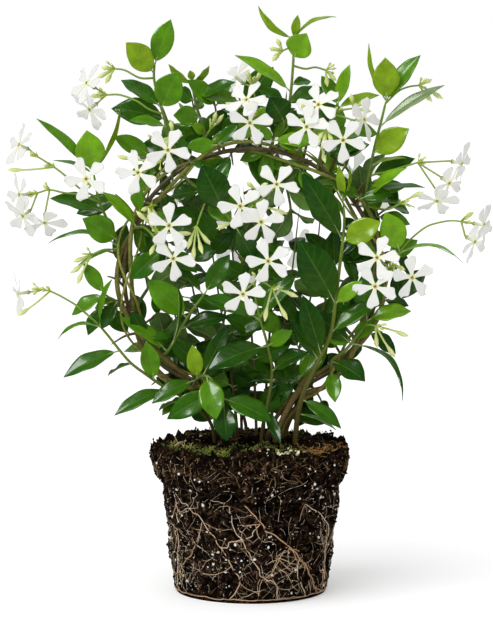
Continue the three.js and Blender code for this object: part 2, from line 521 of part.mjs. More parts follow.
/** How far the soil stands out at a turn and height: low lumps and grain, none at the flat foot. */
function soilRelief(degrees, height) {
  const a = radians(degrees);
  const lumps = Math.sin(3 * a + 0.06 * height) + Math.sin(5 * a - 0.11 * height + 1)
    + Math.sin(0.19 * height + 2 * a);
  const grain = Math.sin(13 * a + 0.5 * height) * Math.cos(9 * a - 0.37 * height);
  return Math.min(1, height / SOIL.smoothFoot) * ((SOIL.lump * lumps) / 3 + SOIL.grain * grain);
}

/** Radius of the soil's wall at a whole side number and a ring number. */
function wallRadius(side, ring) {
  const [radius, height] = SOIL_WALL[ring];
  return radius + soilRelief((360 * side) / SOIL.sides, height);
}

/** Radius of the faceted wall at any turn and height, between its corner points. */
function facetRadius(degrees, height) {
  const turns = ((((degrees % 360) + 360) % 360) * SOIL.sides) / 360;
  const side = Math.floor(turns);
  const ring = Math.max(0, SOIL_WALL.findIndex(([, z]) => z > height) - 1);
  const [low, high] = [SOIL_WALL[ring][1], SOIL_WALL[ring + 1][1]];
  const up = (height - low) / (high - low);
  const at = (k) => THREE.MathUtils.lerp(wallRadius(k, ring), wallRadius(k, ring + 1), up);
  return THREE.MathUtils.lerp(at(side), at(side + 1), turns - side);
}

/** A point on a turned circle; turn 0 faces the front. */
const around = (degrees, radius, height) => new THREE.Vector3(
  radius * Math.sin(radians(degrees)), -radius * Math.cos(radians(degrees)), height);

/** A ring of the root ball's corners, from the radius and height at each side's number. */
const soilRing = (radiusOf, heightOf) => Array.from({ length: SOIL.sides }, (_, k) => (
  around((360 * k) / SOIL.sides, radiusOf(k), heightOf(k))));

/** The root ball before its stem holes: a tapering crumbly wall, a ragged rim and a low mound. */
function rootBallBlank() {
  const rings = SOIL_WALL.map(([, height], ring) => {
    const ragged = ring >= SOIL_WALL.length - CRUMBS.rimRings;
    const crumbs = (k) => (ragged ? SOIL.rimRelief * soilRelief(CRUMBS.rimTurn * k, 30 + height) : 0);
    return soilRing((k) => wallRadius(k, ring), (k) => height + crumbs(k));
  });
  const [rimRadius] = SOIL_WALL[SOIL_WALL.length - 1];
  for (const share of SOIL_TOP_RINGS) {
    const from = CRUMBS.topStep * share + 20;
    const crumbs = (k) => SOIL.topRelief * soilRelief(CRUMBS.topTurn * k * share, from);
    rings.push(soilRing(() => rimRadius * share,
      (k) => SOIL.level - 1 + crumbs(k) + SOIL.mound * (1 - share) ** 2));
  }
  rings.push([new THREE.Vector3(0, 0, SOIL.level - 1.5 + SOIL.mound)]);
  return loft(rings);
}

/** The surface roots, joined where they meet, lying just clear of the soil's faceted wall. */
function surfaceRoots() {
  const { radius, sides, lift } = ROOT;
  return union(ROOTS.map((route, index) => {
    const points = route.map(([degrees, height]) => (
      around(degrees, facetRadius(degrees, height) + radius + lift, height)));
    const to = index === 0 ? radius : radius * 0.7;
    return tube(points, { from: radius, to, sides, steps: points.length - 1 });
  }));
}

// ---------------------------------------------------------------- hoop and vines

/** A point beside the hoop's wire: angle round the hoop, then distance and turn round the wire. */
function byHoop(degrees, distance = 0, turn = 0) {
  const a = radians(degrees);
  const reach = HOOP.radius + distance * Math.cos(turn);
  const aside = distance * Math.sin(turn);
  return new THREE.Vector3(-reach * Math.sin(a), aside, HOOP.centre - reach * Math.cos(a));
}

function hoopPath() {
  const { legX, legDepth, opening, arcs } = HOOP;
  const arc = Array.from({ length: arcs + 1 }, (_, i) => byHoop(opening + ((360 - 2 * opening) * i) / arcs));
  const leg = [-legDepth, -legDepth / 2, 4].map((height) => SOIL.level + height);
  return [...leg.map((z) => vec([-legX, 0, z])), ...arc, ...leg.reverse().map((z) => vec([legX, 0, z]))];
}

/** Where a vine's middle is at an angle round the hoop. */
function onVine(vine, degrees) {
  return byHoop(degrees, VINE.offset, radians(vine.phase + VINE.twist * degrees));
}

function vinePath(vine) {
  const [x, y] = vine.hole;
  const sweep = vine.to - vine.from;
  const count = Math.ceil(Math.abs(sweep) / VINE.step);
  const round = Array.from({ length: count + 1 }, (_, i) => onVine(vine, vine.from + (sweep * i) / count));
  const foot = [-VINE.depth, -VINE.depth / 2, 6].map((height) => vec([x, y, SOIL.level + height]));
  return [...foot, ...round];
}

function vineSolid(vine, grow = 0) {
  const path = vinePath(vine);
  return tube(path, { from: VINE.base, to: VINE.end, sides: VINE.sides, steps: path.length - 1, grow });
}

function hoopSolid(grow = 0) {
  return tube(hoopPath(), { from: HOOP.wire, to: HOOP.wire, sides: HOOP.sides, steps: HOOP.steps, grow });
}

// ---------------------------------------------------------------- shoots

/** A shoot's own points: from its hole in the soil, or from the middle of its vine. */
function shootPath(shoot) {
  if (shoot.hole) {
    const [x, y] = shoot.hole;
    return [vec([x, y, SOIL.level - 40]), vec([x, y, SOIL.level + 6]), ...shoot.path.map(vec)];
  }
  return [onVine(VINES[shoot.vine], shoot.at), ...shoot.path.map(vec)];
}

/** Opposite leaves by rule: each pair stands square to the one below it. */
function pairedLeaves(path, { pairs = 0, length, turn }) {
  const leaves = [];
  for (let k = 0; k < pairs; k += 1) {
    const t = PAIRS.start + (PAIRS.span * (k + 0.5)) / pairs;
    const base = along(path, t);
    const ahead = along(path, t + 0.02).sub(along(path, t - 0.02)).normalize();
    const out = new THREE.Vector3(0, 1, 0).addScaledVector(ahead, -ahead.y).normalize();
    const across = new THREE.Vector3().crossVectors(ahead, out);
    const angle = radians(turn + 90 * k);
    const reach = length * (1 - PAIRS.shorter * k);
    for (const side of [-1, 1]) {
      const spread = side * reach * PAIRS.spread;
      const tip = base.clone().addScaledVector(out, spread * Math.cos(angle))
        .addScaledVector(across, spread * Math.sin(angle)).addScaledVector(ahead, reach * PAIRS.ahead);
      tip.y = Math.max(tip.y, PAIRS.behind);
      leaves.push([t, [tip.x, tip.y, tip.z], length * PAIRS.width, [ahead.x, ahead.y + 0.5, ahead.z]]);
    }
  }
  return leaves;
}

/** The stem, stalks and buds of a shoot, each a little larger by grow. */
function woodParts(shoot, grow = 0) {
  const path = shootPath(shoot);
  const stalk = (points) => tube(points, {
    from: STALK.radius, to: STALK.radius, sides: STALK.sides, steps: points.length - 1, grow,
  });
  const parts = [tube(path, {
    from: shoot.base ?? STEM.base, to: STEM.end, sides: STEM.sides, steps: path.length - 1, grow,
  })];
  for (const spray of shoot.sprays) {
    const points = [along(path, spray.at), ...spray.path.map(vec)];
    parts.push(stalk(points));
    for (const [from, tip] of spray.buds) {
      parts.push(bud(points[from + 1], vec(tip), grow));
    }
    for (const [from, , centre, facing] of spray.blooms) {
      const foot = vec(centre).addScaledVector(vec(facing).normalize(), -BLOOM.tube - CLEARANCE);
      parts.push(stalk([points[from + 1], foot]));
    }
  }
  return parts;
}

const obstacles = []; // every part in place so far, with its box

const note = (body) => obstacles.push({ body, box: body.boundingBox() });
const boxesMeet = (a, b) => [0, 1, 2].every((i) => a.min[i] <= b.max[i] && b.min[i] <= a.max[i]);

/** How much of a solid lies in what is already in place. */
function crossing(body) {
  const box = body.boundingBox();
  return obstacles.filter((other) => boxesMeet(box, other.box))
    .reduce((sum, other) => sum + body.intersect(other.body).volume(), 0);
}

/** A shoot's leaves, each bent clear of what is in place, as functions of grow. */
function placeLeaves(shoot) {
  const path = shootPath(shoot);
  return [...shoot.leaves, ...pairedLeaves(path, shoot)].map(([t, tip, width, face, bow]) => {
    const base = along(path, t);
    let best = { crossed: Infinity };
    for (const [back, up] of BENDS) {
      const bent = vec([tip[0], tip[1] + back, tip[2] + up]);
      const crossed = crossing(leaf(base, bent, width, face, bow, CLEARANCE, false));
      if (crossed < best.crossed) {
        best = { crossed, bent };
      }
      if (crossed < CROSSING) {
        break;
      }
    }
    note(leaf(base, best.bent, width, face, bow, 0, false));
    return (grow) => leaf(base, best.bent, width, face, bow, grow);
  });
}

/** The open blooms by node name, each as [centre, facing, turn]. */
function bloomGroups() {
  const groups = new Map();
  let count = 0;
  for (const shoot of Object.values(SHOOTS)) {
    for (const [, name, centre, facing] of shoot.sprays.flatMap((spray) => spray.blooms)) {
      count += 1;
      groups.set(name, [...(groups.get(name) ?? []), [vec(centre), facing, (47 * count) % 72]]);
    }
  }
  return groups;
}

// ---------------------------------------------------------------- assembly

const FINISH = {
  soil: { color: 0x2b211b, roughness: 0.95 },
  root: { color: 0xb7925f, roughness: 0.8 },
  wire: { color: 0x2c3a2a, roughness: 0.5 },
  bark: { color: 0x6f5a32, roughness: 0.75 },
  petal: { color: 0xf6f6f1, roughness: 0.6 },
  leaves: [0x2c5a22, 0x3f7a2c, 0x24491f, 0x5b8a30].map((color) => ({ color, roughness: 0.35 })),
};

const jasmine = new THREE.Group();
const made = []; // what is already in place, grown by the clearance, with its box

/** A solid's skin, its close corners welded. */
function skin(body) {
  const mesh = body.getMesh();
  const geometry = new THREE.BufferGeometry();
  geometry.setAttribute('position', new THREE.Float32BufferAttribute(mesh.vertProperties, 3));
  geometry.setIndex(Array.from(mesh.triVerts));
  return mergeVertices(geometry, WELD);
}

/** The largest body of a solid once its skin is simplified and welded: a loose scrap is dropped. */
function settled(body) {
  const welded = skin(body.simplify(MERGE));
  const bodies = new wasm.Manifold(new wasm.Mesh({
    numProp: 3,
    vertProperties: welded.attributes.position.array,
    triVerts: Uint32Array.from(welded.index.array),
  })).decompose();
  return bodies.sort((a, b) => b.volume() - a.volume())[0];
}

/** Adds a named mesh for the main body of a solid. */
function addMesh(name, body, finish) {
  const geometry = skin(settled(body));
  geometry.computeVertexNormals();
  const node = new THREE.Mesh(geometry, new THREE.MeshStandardMaterial({ ...finish, metalness: 0 }));
  node.name = name;
  jasmine.add(node);
}

/** Cuts a solid clear of everything made so far and adds it; build gives the solid, larger by grow. */
function addClear(name, build, finish) {
  const grown = build(CLEARANCE);
  const box = grown.boundingBox();
  const near = made.filter((other) => boxesMeet(box, other.box));
  const cut = near.length ? build(0).subtract(union(near.map((other) => other.grown))) : build(0);
  addMesh(name, cut, finish);
  made.push({ grown, box });
}

const shoots = Object.entries(SHOOTS);
const groups = [...bloomGroups()];
const cluster = (blooms, grow) => union(blooms.map((placed) => bloom(...placed, grow)));

note(rootBallBlank());
note(hoopSolid());
VINES.forEach((vine) => note(vineSolid(vine)));
groups.forEach(([, blooms]) => note(cluster(blooms, 0)));
shoots.forEach(([, shoot]) => woodParts(shoot).forEach(note));
const foliage = shoots.map(([, shoot]) => placeLeaves(shoot));

addClear('support_hoop', hoopSolid, FINISH.wire);
VINES.forEach((vine, i) => addClear(`vine_${i + 1}`, (grow) => vineSolid(vine, grow), FINISH.bark));
groups.forEach(([name, blooms]) => addClear(name, (grow) => cluster(blooms, grow), FINISH.petal));
shoots.forEach(([name, shoot], i) => {
  addClear(name, (grow) => union([...woodParts(shoot, grow), ...foliage[i].map((build) => build(grow))]),
    FINISH.leaves[i % FINISH.leaves.length]);
});

const holes = union(made.map((other) => other.grown));
addMesh('root_ball', rootBallBlank().subtract(holes), FINISH.soil);
addMesh('surface_roots', surfaceRoots(), FINISH.root);

export default jasmine;
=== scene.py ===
"""A young star jasmine on a wire hoop, its root ball bare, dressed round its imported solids.

Blender 4.5. Every piece is in metres in the frame of the solids: +Z up, the front towards -Y, the origin
in the middle of the root ball's flat foot. Sizes are written in millimetres, and a mesh is turned to
metres once, where it is finished. The tables and rules of the shoots, roots, hoop and soil are those that
the solids were made by, so each piece lies where its solid lies.
"""

import logging
import math
from collections.abc import Callable, Iterator
from dataclasses import dataclass, field
from enum import Enum, IntEnum
from functools import partial
from random import Random

import bmesh
import bpy
from mathutils import Matrix, Vector, kdtree, noise


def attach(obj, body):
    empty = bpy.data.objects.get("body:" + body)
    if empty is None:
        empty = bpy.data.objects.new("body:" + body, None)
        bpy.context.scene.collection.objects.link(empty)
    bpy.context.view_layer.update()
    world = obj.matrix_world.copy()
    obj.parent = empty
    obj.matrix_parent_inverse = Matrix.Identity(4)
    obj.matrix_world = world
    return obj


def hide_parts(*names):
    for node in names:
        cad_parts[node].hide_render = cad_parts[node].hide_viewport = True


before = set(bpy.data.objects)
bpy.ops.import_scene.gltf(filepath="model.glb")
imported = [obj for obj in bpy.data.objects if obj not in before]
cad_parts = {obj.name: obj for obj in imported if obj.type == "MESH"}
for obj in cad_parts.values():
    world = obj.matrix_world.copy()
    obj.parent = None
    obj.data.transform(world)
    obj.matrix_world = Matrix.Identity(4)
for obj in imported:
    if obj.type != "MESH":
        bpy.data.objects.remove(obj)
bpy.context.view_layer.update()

LOG = logging.getLogger("star_jasmine")
MM = 0.001
CLEARANCE = 0.3  # left between the solids, in mm

Colour = tuple[float, float, float, float]
Tints = tuple[Colour, Colour]
Point = tuple[float, float, float]
Material = bpy.types.Material
Piece = bpy.types.Object


# --- named choices


class Face(Enum):
    """Which way a leaf's upper face looks."""

    FRONT = (0, -1, 0.3)
    TILTED = (0, -0.62, 0.78)
    UP = (0, -0.2, 1)
    LEFT = (-1, -0.35, 0.2)
    RIGHT = (1, -0.35, 0.2)
    BACK = (0, 1, 0.4)


class Tone(Enum):
    """The colours of leaves on one plant, by their age and partly as painted shade, as sRGB hex."""

    DEEP = "#0e3f06"
    DARK = "#265a06"
    MID = "#4d820c"
    BRIGHT = "#6c9f14"
    YOUNG = "#7a9c14"
    UNDER = "#7b9263"


FRONT, TILTED, UP, LEFT, RIGHT, BACK = Face
DEEP, DARK, MID, BRIGHT, YOUNG, UNDER = Tone


def linear(code: str) -> Colour:
    """Turns an sRGB hex colour to linear light.

    Args:
        code: the colour as #rrggbb.

    Returns:
        Linear red, green, blue and an alpha of one.
    """
    shares = [int(code[i:i + 2], 16) / 255 for i in (1, 3, 5)]
    red, green, blue = [s / 12.92 if s <= 0.04045 else ((s + 0.055) / 1.055) ** 2.4 for s in shares]
    return (red, green, blue, 1.0)


def blended(first: Colour, second: Colour, share: float) -> Colour:
    """Mixes two linear colours, the first at a share of nothing and the second at a share of one."""
    return tuple(a + (b - a) * share for a, b in zip(first, second))


WHITE: Colour = (1.0, 1.0, 1.0, 1.0)
GREEN_STALK = linear("#6f8c2e")
PALE_STALK = linear("#8ea64c")
TUBE_FOOT = linear("#93a548")
BRACT_TONES = (linear("#83a528"), linear("#ccd858"))


# --- the plant, shoot by shoot


@dataclass(frozen=True)
class Spray:
    """A flower stalk: where it leaves its stem, its points, its buds and its open blooms."""

    at: float
    path: list[Point]
    buds: list[tuple] = field(default_factory=list)
    blooms: list[tuple] = field(default_factory=list)


@dataclass(frozen=True)
class Shoot:
    """A side shoot: its start on a vine or in a hole in the soil, its points, leaves and sprays.

    A leaf is its place along the stem, tip, width, face, tone and sometimes its bow. Pairs, length and
    turn set leaves by rule in opposite pairs. A bud is the number of its stalk's point and its tip, and a
    bloom the point's number, its node's name, its centre and the way it faces. Names here leave out the
    shoot_ and bloom_ that the nodes' own begin with.
    """

    path: list[Point]
    vine: int = 0
    at: float = 0.0
    hole: tuple[float, float] | None = None
    base: float = 1.25
    leaves: list[tuple] = field(default_factory=list)
    pairs: int = 0
    length: float = 0.0
    turn: float = 0.0
    sprays: list[Spray] = field(default_factory=list)


SHOOTS = {
    "top_left": Shoot(vine=0, at=140, path=[(-54, -4, 297), (-57, -3, 316), (-62, -1, 333), (-64.5, 0, 345),
        (-64, 0, 355)],
        leaves=[(0.97, (-53, -3, 384), 15, FRONT, MID), (0.86, (-83, -8, 369), 17, FRONT, YOUNG),
            (0.5, (-48, -13, 350), 20, FRONT, MID), (0.5, (-87, 9, 343), 13, TILTED, DARK),
            (0.36, (-81, -12, 317), 10, TILTED, MID)],
        sprays=[Spray(0.46, [(-67, -4, 324), (-76, -5, 330), (-87, -5, 334), (-96, -5, 334)],
            [(3, (-107, 3, 333))], [(3, "far_left_top", (-109, -8, 342), (-0.75, -0.5, 0.45)),
            (3, "far_left_top", (-107, -10, 324.5), (-0.6, -0.55, -0.5))]),
            Spray(0.8, [(-74, 3, 345), (-84, 5, 350), (-91, 6, 351)], [(2, (-100, 6, 352)),
            (2, (-103, 8, 345)), (2, (-97, 4, 341))]),
            Spray(0.16, [(-60, -10, 290)], [(0, (-89, -16, 294))],
            [(0, "left_upper", (-54.7, -26, 298.5), (0.1, -0.95, 0.15)),
            (0, "left_upper_outer", (-74.7, -22, 283.5), (-0.2, -0.95, 0))])]),
    "top_left_rear": Shoot(vine=1, at=157, path=[(-31, 8, 308), (-36, 10, 324), (-38.5, 11, 336),
        (-39, 11, 343)],
        leaves=[(0.9, (-55, 15, 354), 7, LEFT, YOUNG), (0.95, (-28, 13, 353), 7, RIGHT, YOUNG),
            (1, (-41, 9, 350), 5, FRONT, YOUNG), (0.6, (-10, 7, 342), 12, TILTED, DARK),
            (0.4, (-52, 4, 320), 14, FRONT, MID), (0.6, (-47, 21, 337), 12, LEFT, DARK)],
        sprays=[Spray(0.2, [(-27, 6, 311)], [(0, (-18, 3, 321)), (0, (-23, 1, 323))])]),
    "top": Shoot(vine=0, at=192, path=[(22, 1, 314), (26, 2, 331), (28, 2, 354), (28.7, 2, 371)],
        leaves=[(1, (5, 7, 393), 7, LEFT, YOUNG, 0.14), (1, (57, 6, 385), 7, UP, YOUNG, 0.14),
            (1, (31, -2, 387), 6, FRONT, YOUNG), (0.8, (37, -7, 375), 18, FRONT, BRIGHT),
            (0.55, (-11, -3, 360), 11, TILTED, BRIGHT), (0.6, (40, 9, 342), 9, TILTED, DARK),
            (0.27, (12, -8, 333), 19, FRONT, DEEP)],
        sprays=[Spray(0.74, [(36, 4, 351), (43, 5, 352), (50, 6, 350)], [(2, (57, 6, 343)),
            (2, (51, 3, 339))]),
            Spray(0.93, [(21, 3, 363)], [(0, (12, 4, 365)), (0, (17, 5, 371)), (0, (14, 1, 356))])]),
    "top_centre": Shoot(vine=2, at=184, path=[(7, 9, 309), (5, 8, 321), (3, 8, 331)],
        leaves=[(0.42, (-20, 2, 324), 12, TILTED, DARK), (0.36, (30, 14, 324), 12, TILTED, DARK)],
        sprays=[Spray(0.5, [(3, -1, 320)], [], [(0, "top_centre", (-0.7, -17, 316), (0, -0.95, -0.1)),
            (0, "top_centre", (-3, -10, 331), (-0.3, -0.7, 0.65))]),
            Spray(1, [(1, 9, 339)], [(0, (-3, 7, 350)), (0, (7, 10, 350))],
            [(0, "top_rear", (-10, 16, 345), (-0.7, 0.45, 0.55))])]),
    "top_right_inner": Shoot(vine=2, at=212, path=[(48, 4, 300), (52, 6, 314), (58, 7, 326)],
        leaves=[(1, (66, 5, 354), 9, TILTED, BRIGHT), (1, (47, 13, 346), 11, TILTED, MID),
            (0.95, (86, 10, 333), 9, TILTED, YOUNG), (0.62, (32, 16, 318), 14, BACK, DEEP),
            (0.45, (74, 9, 306), 13, TILTED, MID)],
        sprays=[Spray(0.42, [(47, -4, 303)], [(0, (49, -19, 290))],
            [(0, "upper_right", (36.7, -20, 313.5), (-0.15, -0.95, 0.1)),
            (0, "upper_right_front", (60.7, -24, 305), (0.1, -0.97, 0.05))]),
            Spray(0.78, [(55, 2, 321)], [], [(0, "upper_right", (44.5, -17, 328), (-0.25, -0.85, 0.4)),
            (0, "upper_right_side", (75, -12, 318), (0.75, -0.6, 0.1))])]),
    "top_right": Shoot(vine=2, at=240, path=[(77, -3, 270), (80.5, -1, 290), (83.3, 0, 303), (86.7, 1, 316),
        (90, 2, 330)],
        leaves=[(1, (89, -4, 359), 18, FRONT, YOUNG), (0.98, (113, 3, 360), 13, TILTED, MID),
            (1, (79, 10, 368), 7, LEFT, YOUNG), (0.74, (129, 6, 340), 9, TILTED, UNDER),
            (0.46, (105, -11, 312), 17, FRONT, YOUNG), (0.36, (104, 4, 291), 7, UP, YOUNG),
            (0.12, (103, -19, 286), 12, TILTED, BRIGHT), (0.15, (116, -5, 272), 13, UP, DARK),
            (0.06, (110, 4, 258), 8, UP, MID)],
        sprays=[Spray(0.97, [(98, 3, 336), (105, 4, 339), (112, 4, 340)], [(2, (121, 5, 329)),
            (2, (128, 3, 331)), (2, (121, 7, 344))]),
            Spray(0.3, [(91, -2, 283), (101, -3, 286), (111, -4, 289)], [],
            [(2, "far_right", (140, -8, 288.5), (0.9, -0.35, -0.2)),
            (2, "far_right", (131.5, -13, 276), (0.66, -0.6, -0.45)),
            (2, "far_right", (123.5, -12, 264), (0, -0.6, -0.75))]),
            Spray(0.03, [(90, -9, 258), (99, -10, 262)], [(1, (115, -10, 270))])]),
    "right": Shoot(vine=3, at=268, path=[(90, -3, 221), (95, -8, 225), (99, -10, 230)],
        leaves=[(1, (89, -15, 257), 18, FRONT, BRIGHT), (0.85, (141, -4, 222), 7, UP, BRIGHT, 0.2),
            (0.4, (112, 8, 236), 14, TILTED, MID)],
        sprays=[Spray(1, [(106, -9, 238), (116, -8, 246), (124, -8, 249), (133, -8, 250.5), (140, -8, 250)],
            [(4, (149, -2, 256))], [(4, "far_right_low", (154.7, -12, 248), (0.93, -0.36, -0.1)),
            (4, "far_right_low", (148.7, -14, 237), (0.75, -0.55, -0.4))]),
            Spray(0.5, [(93, -12, 218)], [], [(0, "right", (83.3, -26, 227.5), (-0.2, -0.95, 0.15)),
            (0, "right", (82, -28, 208.5), (-0.15, -0.95, -0.1)),
            (0, "right_outer", (106.7, -23, 214), (0.35, -0.9, -0.1))])]),
    "left": Shoot(vine=0, at=98, path=[(-90.5, -3, 240), (-97, -3, 253), (-102, -3, 266), (-105, -3, 283)],
        leaves=[(1, (-109, -9, 311), 20, FRONT, BRIGHT), (0.98, (-143, -2, 318), 8, TILTED, MID),
            (1, (-87, 6, 327), 6, RIGHT, YOUNG), (0.97, (-132, -3, 290), 7, UP, MID),
            (0.55, (-134, -7, 265), 15, TILTED, DARK), (0.2, (-112, -18, 253), 18, FRONT, MID),
            (0.12, (-136, 1, 234), 8, UP, MID, 0.18), (0.1, (-121, 4, 214), 6, UP, MID)],
        sprays=[Spray(0.74, [(-113, -4, 271), (-122, -5, 279), (-131, -5, 286), (-142, -5, 293)],
            [(2, (-162, -2, 284))], [(3, "far_left_upper", (-154, -8, 301), (-0.8, -0.45, 0.4))]),
            Spray(0.68, [(-113, -6, 267.5), (-124, -7, 269), (-134, -7, 271), (-142, -7, 269)], [],
            [(3, "far_left", (-154, -10, 268), (-0.85, -0.5, 0)),
            (3, "far_left", (-151.5, -13, 254), (-0.6, -0.65, -0.45)),
            (2, "far_left", (-137, -13, 249.5), (0, -0.6, -0.75))]),
            Spray(0.9, [(-106, -7, 275)], [], [(0, "left_outer", (-109, -18, 279), (-0.2, -0.95, 0.2))]),
            Spray(0.08, [(-98, -6, 231), (-106, -7, 228)], [(1, (-119, -8, 223)), (1, (-120, -4, 215)),
            (1, (-116, -8, 208))])]),
    "left_inner": Shoot(vine=1, at=112, path=[(-71, -8, 246), (-64, -13, 239), (-58, -15, 230)],
        leaves=[(0.12, (-99, -12, 270), 10, TILTED, BRIGHT), (0.95, (-80, -14, 212), 15, FRONT, DARK),
            (0.6, (-44, -9, 256), 13, TILTED, DEEP), (1, (-36, -14, 216), 13, TILTED, DARK)],
        sprays=[Spray(0.55, [(-62, -19, 243)], [(0, (-76, -20, 258)), (0, (-68, -24, 260)),
            (0, (-39, -22, 243))], [(0, "left_inner", (-54, -30, 249), (0.1, -0.95, 0.1)),
            (0, "left_inner", (-51.3, -28, 227), (0, -0.95, -0.15))])]),
    "upper_inner": Shoot(vine=0, at=146, path=[(-40, -9, 276), (-28, -14, 266), (-17, -16, 256),
        (-10, -17, 247)],
        leaves=[(0.74, (-33, -21, 289), 22, FRONT, DEEP), (0.95, (-28, -25, 262), 14, FRONT, MID),
            (0.4, (-53, -17, 266), 14, TILTED, DEEP), (1, (2, -12, 224), 14, FRONT, DEEP),
            (0.5, (-14, -8, 290), 13, TILTED, DARK)],
        sprays=[Spray(0.85, [(-10, -21, 252), (2, -20, 262)], [(0, (-23, -18, 246)), (1, (24, -20, 256))],
            [(0, "centre", (-7, -33, 262), (0, -0.97, 0.1)),
            (0, "centre_right", (6.7, -37, 252), (0.15, -0.95, -0.1)),
            (1, "centre_top", (17, -27, 276), (0.15, -0.9, 0.35))])]),
    "middle": Shoot(hole=(7, -14), path=[(11, -14, 128), (14, -14, 150), (11, -16, 168), (6, -19, 186),
        (2, -21, 204)],
        leaves=[(0.66, (-29, -27, 152), 21, TILTED, DEEP), (0.82, (-33, -20, 200), 15, TILTED, DARK),
            (0.66, (28, -25, 179), 10, FRONT, MID), (0.5, (38, -22, 164), 15, TILTED, DEEP),
            (0.84, (30, -12, 214), 14, TILTED, DARK), (0.3, (20, -34, 104), 8, FRONT, DEEP),
            (0.45, (-4, -2, 140), 13, UP, DEEP)],
        sprays=[Spray(1, [(4, -26, 213), (14, -30, 208)], [(1, (31, -32, 202)), (1, (24, -33, 187)),
            (1, (9, -34, 186))], [(0, "centre_mid", (11.3, -41, 226.5), (0.1, -0.95, 0.1)),
            (0, "centre_low", (-5.3, -39, 204.5), (-0.1, -0.95, -0.15))])]),
    "inner_left": Shoot(vine=0, at=48, path=[(-55, -9, 164), (-47, -11, 178), (-40, -13, 190),
        (-31, -14, 202)],
        leaves=[(0.66, (-69, -15, 212), 18, FRONT, MID), (0.3, (-49, -20, 211), 7, RIGHT, DARK),
            (0.5, (-14, -12, 186), 14, TILTED, DEEP), (0.2, (-88, -10, 186), 12, TILTED, MID),
            (1, (-14, -8, 228), 13, FRONT, DARK), (0.98, (-60, -4, 224), 13, UP, DARK)]),
    "low_front": Shoot(vine=1, at=27, path=[(-36, -12, 145), (-28, -19, 147), (-21, -22, 136),
        (-18, -23, 129)],
        leaves=[(0.45, (-23, -29, 120), 17, FRONT, MID), (0.98, (-16, -34, 105.5), 16, FRONT, DEEP),
            (0.85, (14, -31, 118), 18, TILTED, DARK), (0.68, (-56, -22, 119), 15, FRONT, DARK),
            (0.25, (-39, -19, 169), 11, FRONT, YOUNG), (0.38, (-15, -17, 181), 12, FRONT, DEEP),
            (0.2, (-66, -20, 129), 14, TILTED, DARK)]),
    "lower_left": Shoot(hole=(-25, -2), path=[(-34, -5, 122), (-47, -7, 132.5), (-58, -9, 139),
        (-68, -10, 146), (-80, -10, 155), (-88, -9, 164), (-96, -8, 174), (-102, -8, 181)],
        leaves=[(0.96, (-129, -10, 171), 7, UP, MID, 0.2), (0.97, (-92, -14, 212), 12, LEFT, MID),
            (0.77, (-125, -16, 146), 14, TILTED, DARK), (0.42, (-91, -20, 121), 12, TILTED, DARK),
            (0.52, (-70, -16, 171), 13, FRONT, MID), (0.66, (-96, -1, 145), 12, UP, DARK),
            (0.3, (-62, 8, 120), 13, UP, DARK)],
        sprays=[Spray(1, [(-111, -8, 189), (-119, -9, 195.5), (-134, -9, 203.5), (-141, -9, 204)],
            [(2, (-156, -12, 187))], [(3, "far_left_low", (-155, -10, 202), (-0.95, -0.25, -0.1))])]),
    "left_low": Shoot(vine=0, at=76, path=[(-91, -4, 196), (-98, -5, 201)],
        leaves=[(0.9, (-120, -10, 186), 13, TILTED, MID), (1, (-112, -3, 222), 10, FRONT, MID),
            (0.5, (-104, 9, 188), 12, UP, YOUNG)]),
    "inner_right": Shoot(hole=(30, -10), base=2.1, path=[(33, -13, 128), (37, -15, 141), (45, -17, 158),
        (53, -18, 176), (56, -18, 196), (59, -17, 222), (61, -15, 238), (62, -13, 252), (61, -12, 264)],
        leaves=[(0.6, (31, -25, 240), 25, FRONT, DEEP), (0.8, (33, -21, 284), 18, FRONT, DEEP),
            (0.79, (86, -20, 251), 17, FRONT, YOUNG), (0.6, (74, -24, 212), 10, FRONT, BRIGHT),
            (0.5, (84, -15, 196), 14, TILTED, DARK), (0.42, (34, -27, 203), 16, FRONT, DEEP),
            (0.4, (26, -20, 186), 9, FRONT, DEEP), (1, (58, -14, 288), 6, FRONT, YOUNG),
            (1, (65, -9, 287), 6, RIGHT, YOUNG), (0.22, (60, -26, 113), 11, TILTED, DARK),
            (0.16, (57, -14, 110), 7, UP, MID), (0.9, (42, -10, 276), 12, RIGHT, MID)]),
    "lower_right": Shoot(vine=2, at=322, path=[(54, -8, 156), (63, -11, 164), (72, -11, 175),
        (78, -10, 184)],
        leaves=[(0.25, (76, -21, 144), 18, TILTED, DEEP), (0.12, (56, -22, 130), 11, FRONT, MID),
            (0.6, (101, -13, 130), 9, UP, DARK, 0.24), (1, (107, -12, 190), 15, TILTED, BRIGHT),
            (0.6, (40, -6, 190), 14, FRONT, DEEP), (0.98, (74, -6, 214), 14, FRONT, DARK)],
        sprays=[Spray(0.9, [(78, -16, 182), (83, -17, 181)], [(1, (84, -18, 166)), (1, (96, -17, 160)),
            (1, (105, -16, 174))])]),
    "rear_left": Shoot(vine=1, at=70, path=[(-74, 14, 196), (-64, 21, 210), (-52, 25, 226), (-42, 27, 242)],
        pairs=3, length=36, turn=20,
        sprays=[Spray(1, [(-40, 29, 252)], [(0, (-34, 26, 262))],
            [(0, "rear_left", (-50, 38, 262), (-0.3, 0.9, 0.2)),
            (0, "rear_left", (-30, 40, 248), (0.2, 0.95, -0.1))])]),
    "rear_top_left": Shoot(vine=1, at=128, path=[(-66, 14, 276), (-60, 20, 288), (-50, 24, 300),
        (-38, 26, 310)],
        pairs=3, length=34, turn=60,
        sprays=[Spray(0.6, [(-60, 30, 296)], [(0, (-70, 32, 306))],
            [(0, "rear_top_left", (-68, 38, 288), (-0.3, 0.9, 0)),
            (0, "rear_top_left", (-52, 40, 302), (0.1, 0.95, 0.2))])]),
    "rear_top": Shoot(vine=2, at=192, path=[(18, 14, 292), (22, 22, 278), (26, 27, 262), (28, 30, 246)],
        pairs=3, length=36, turn=40,
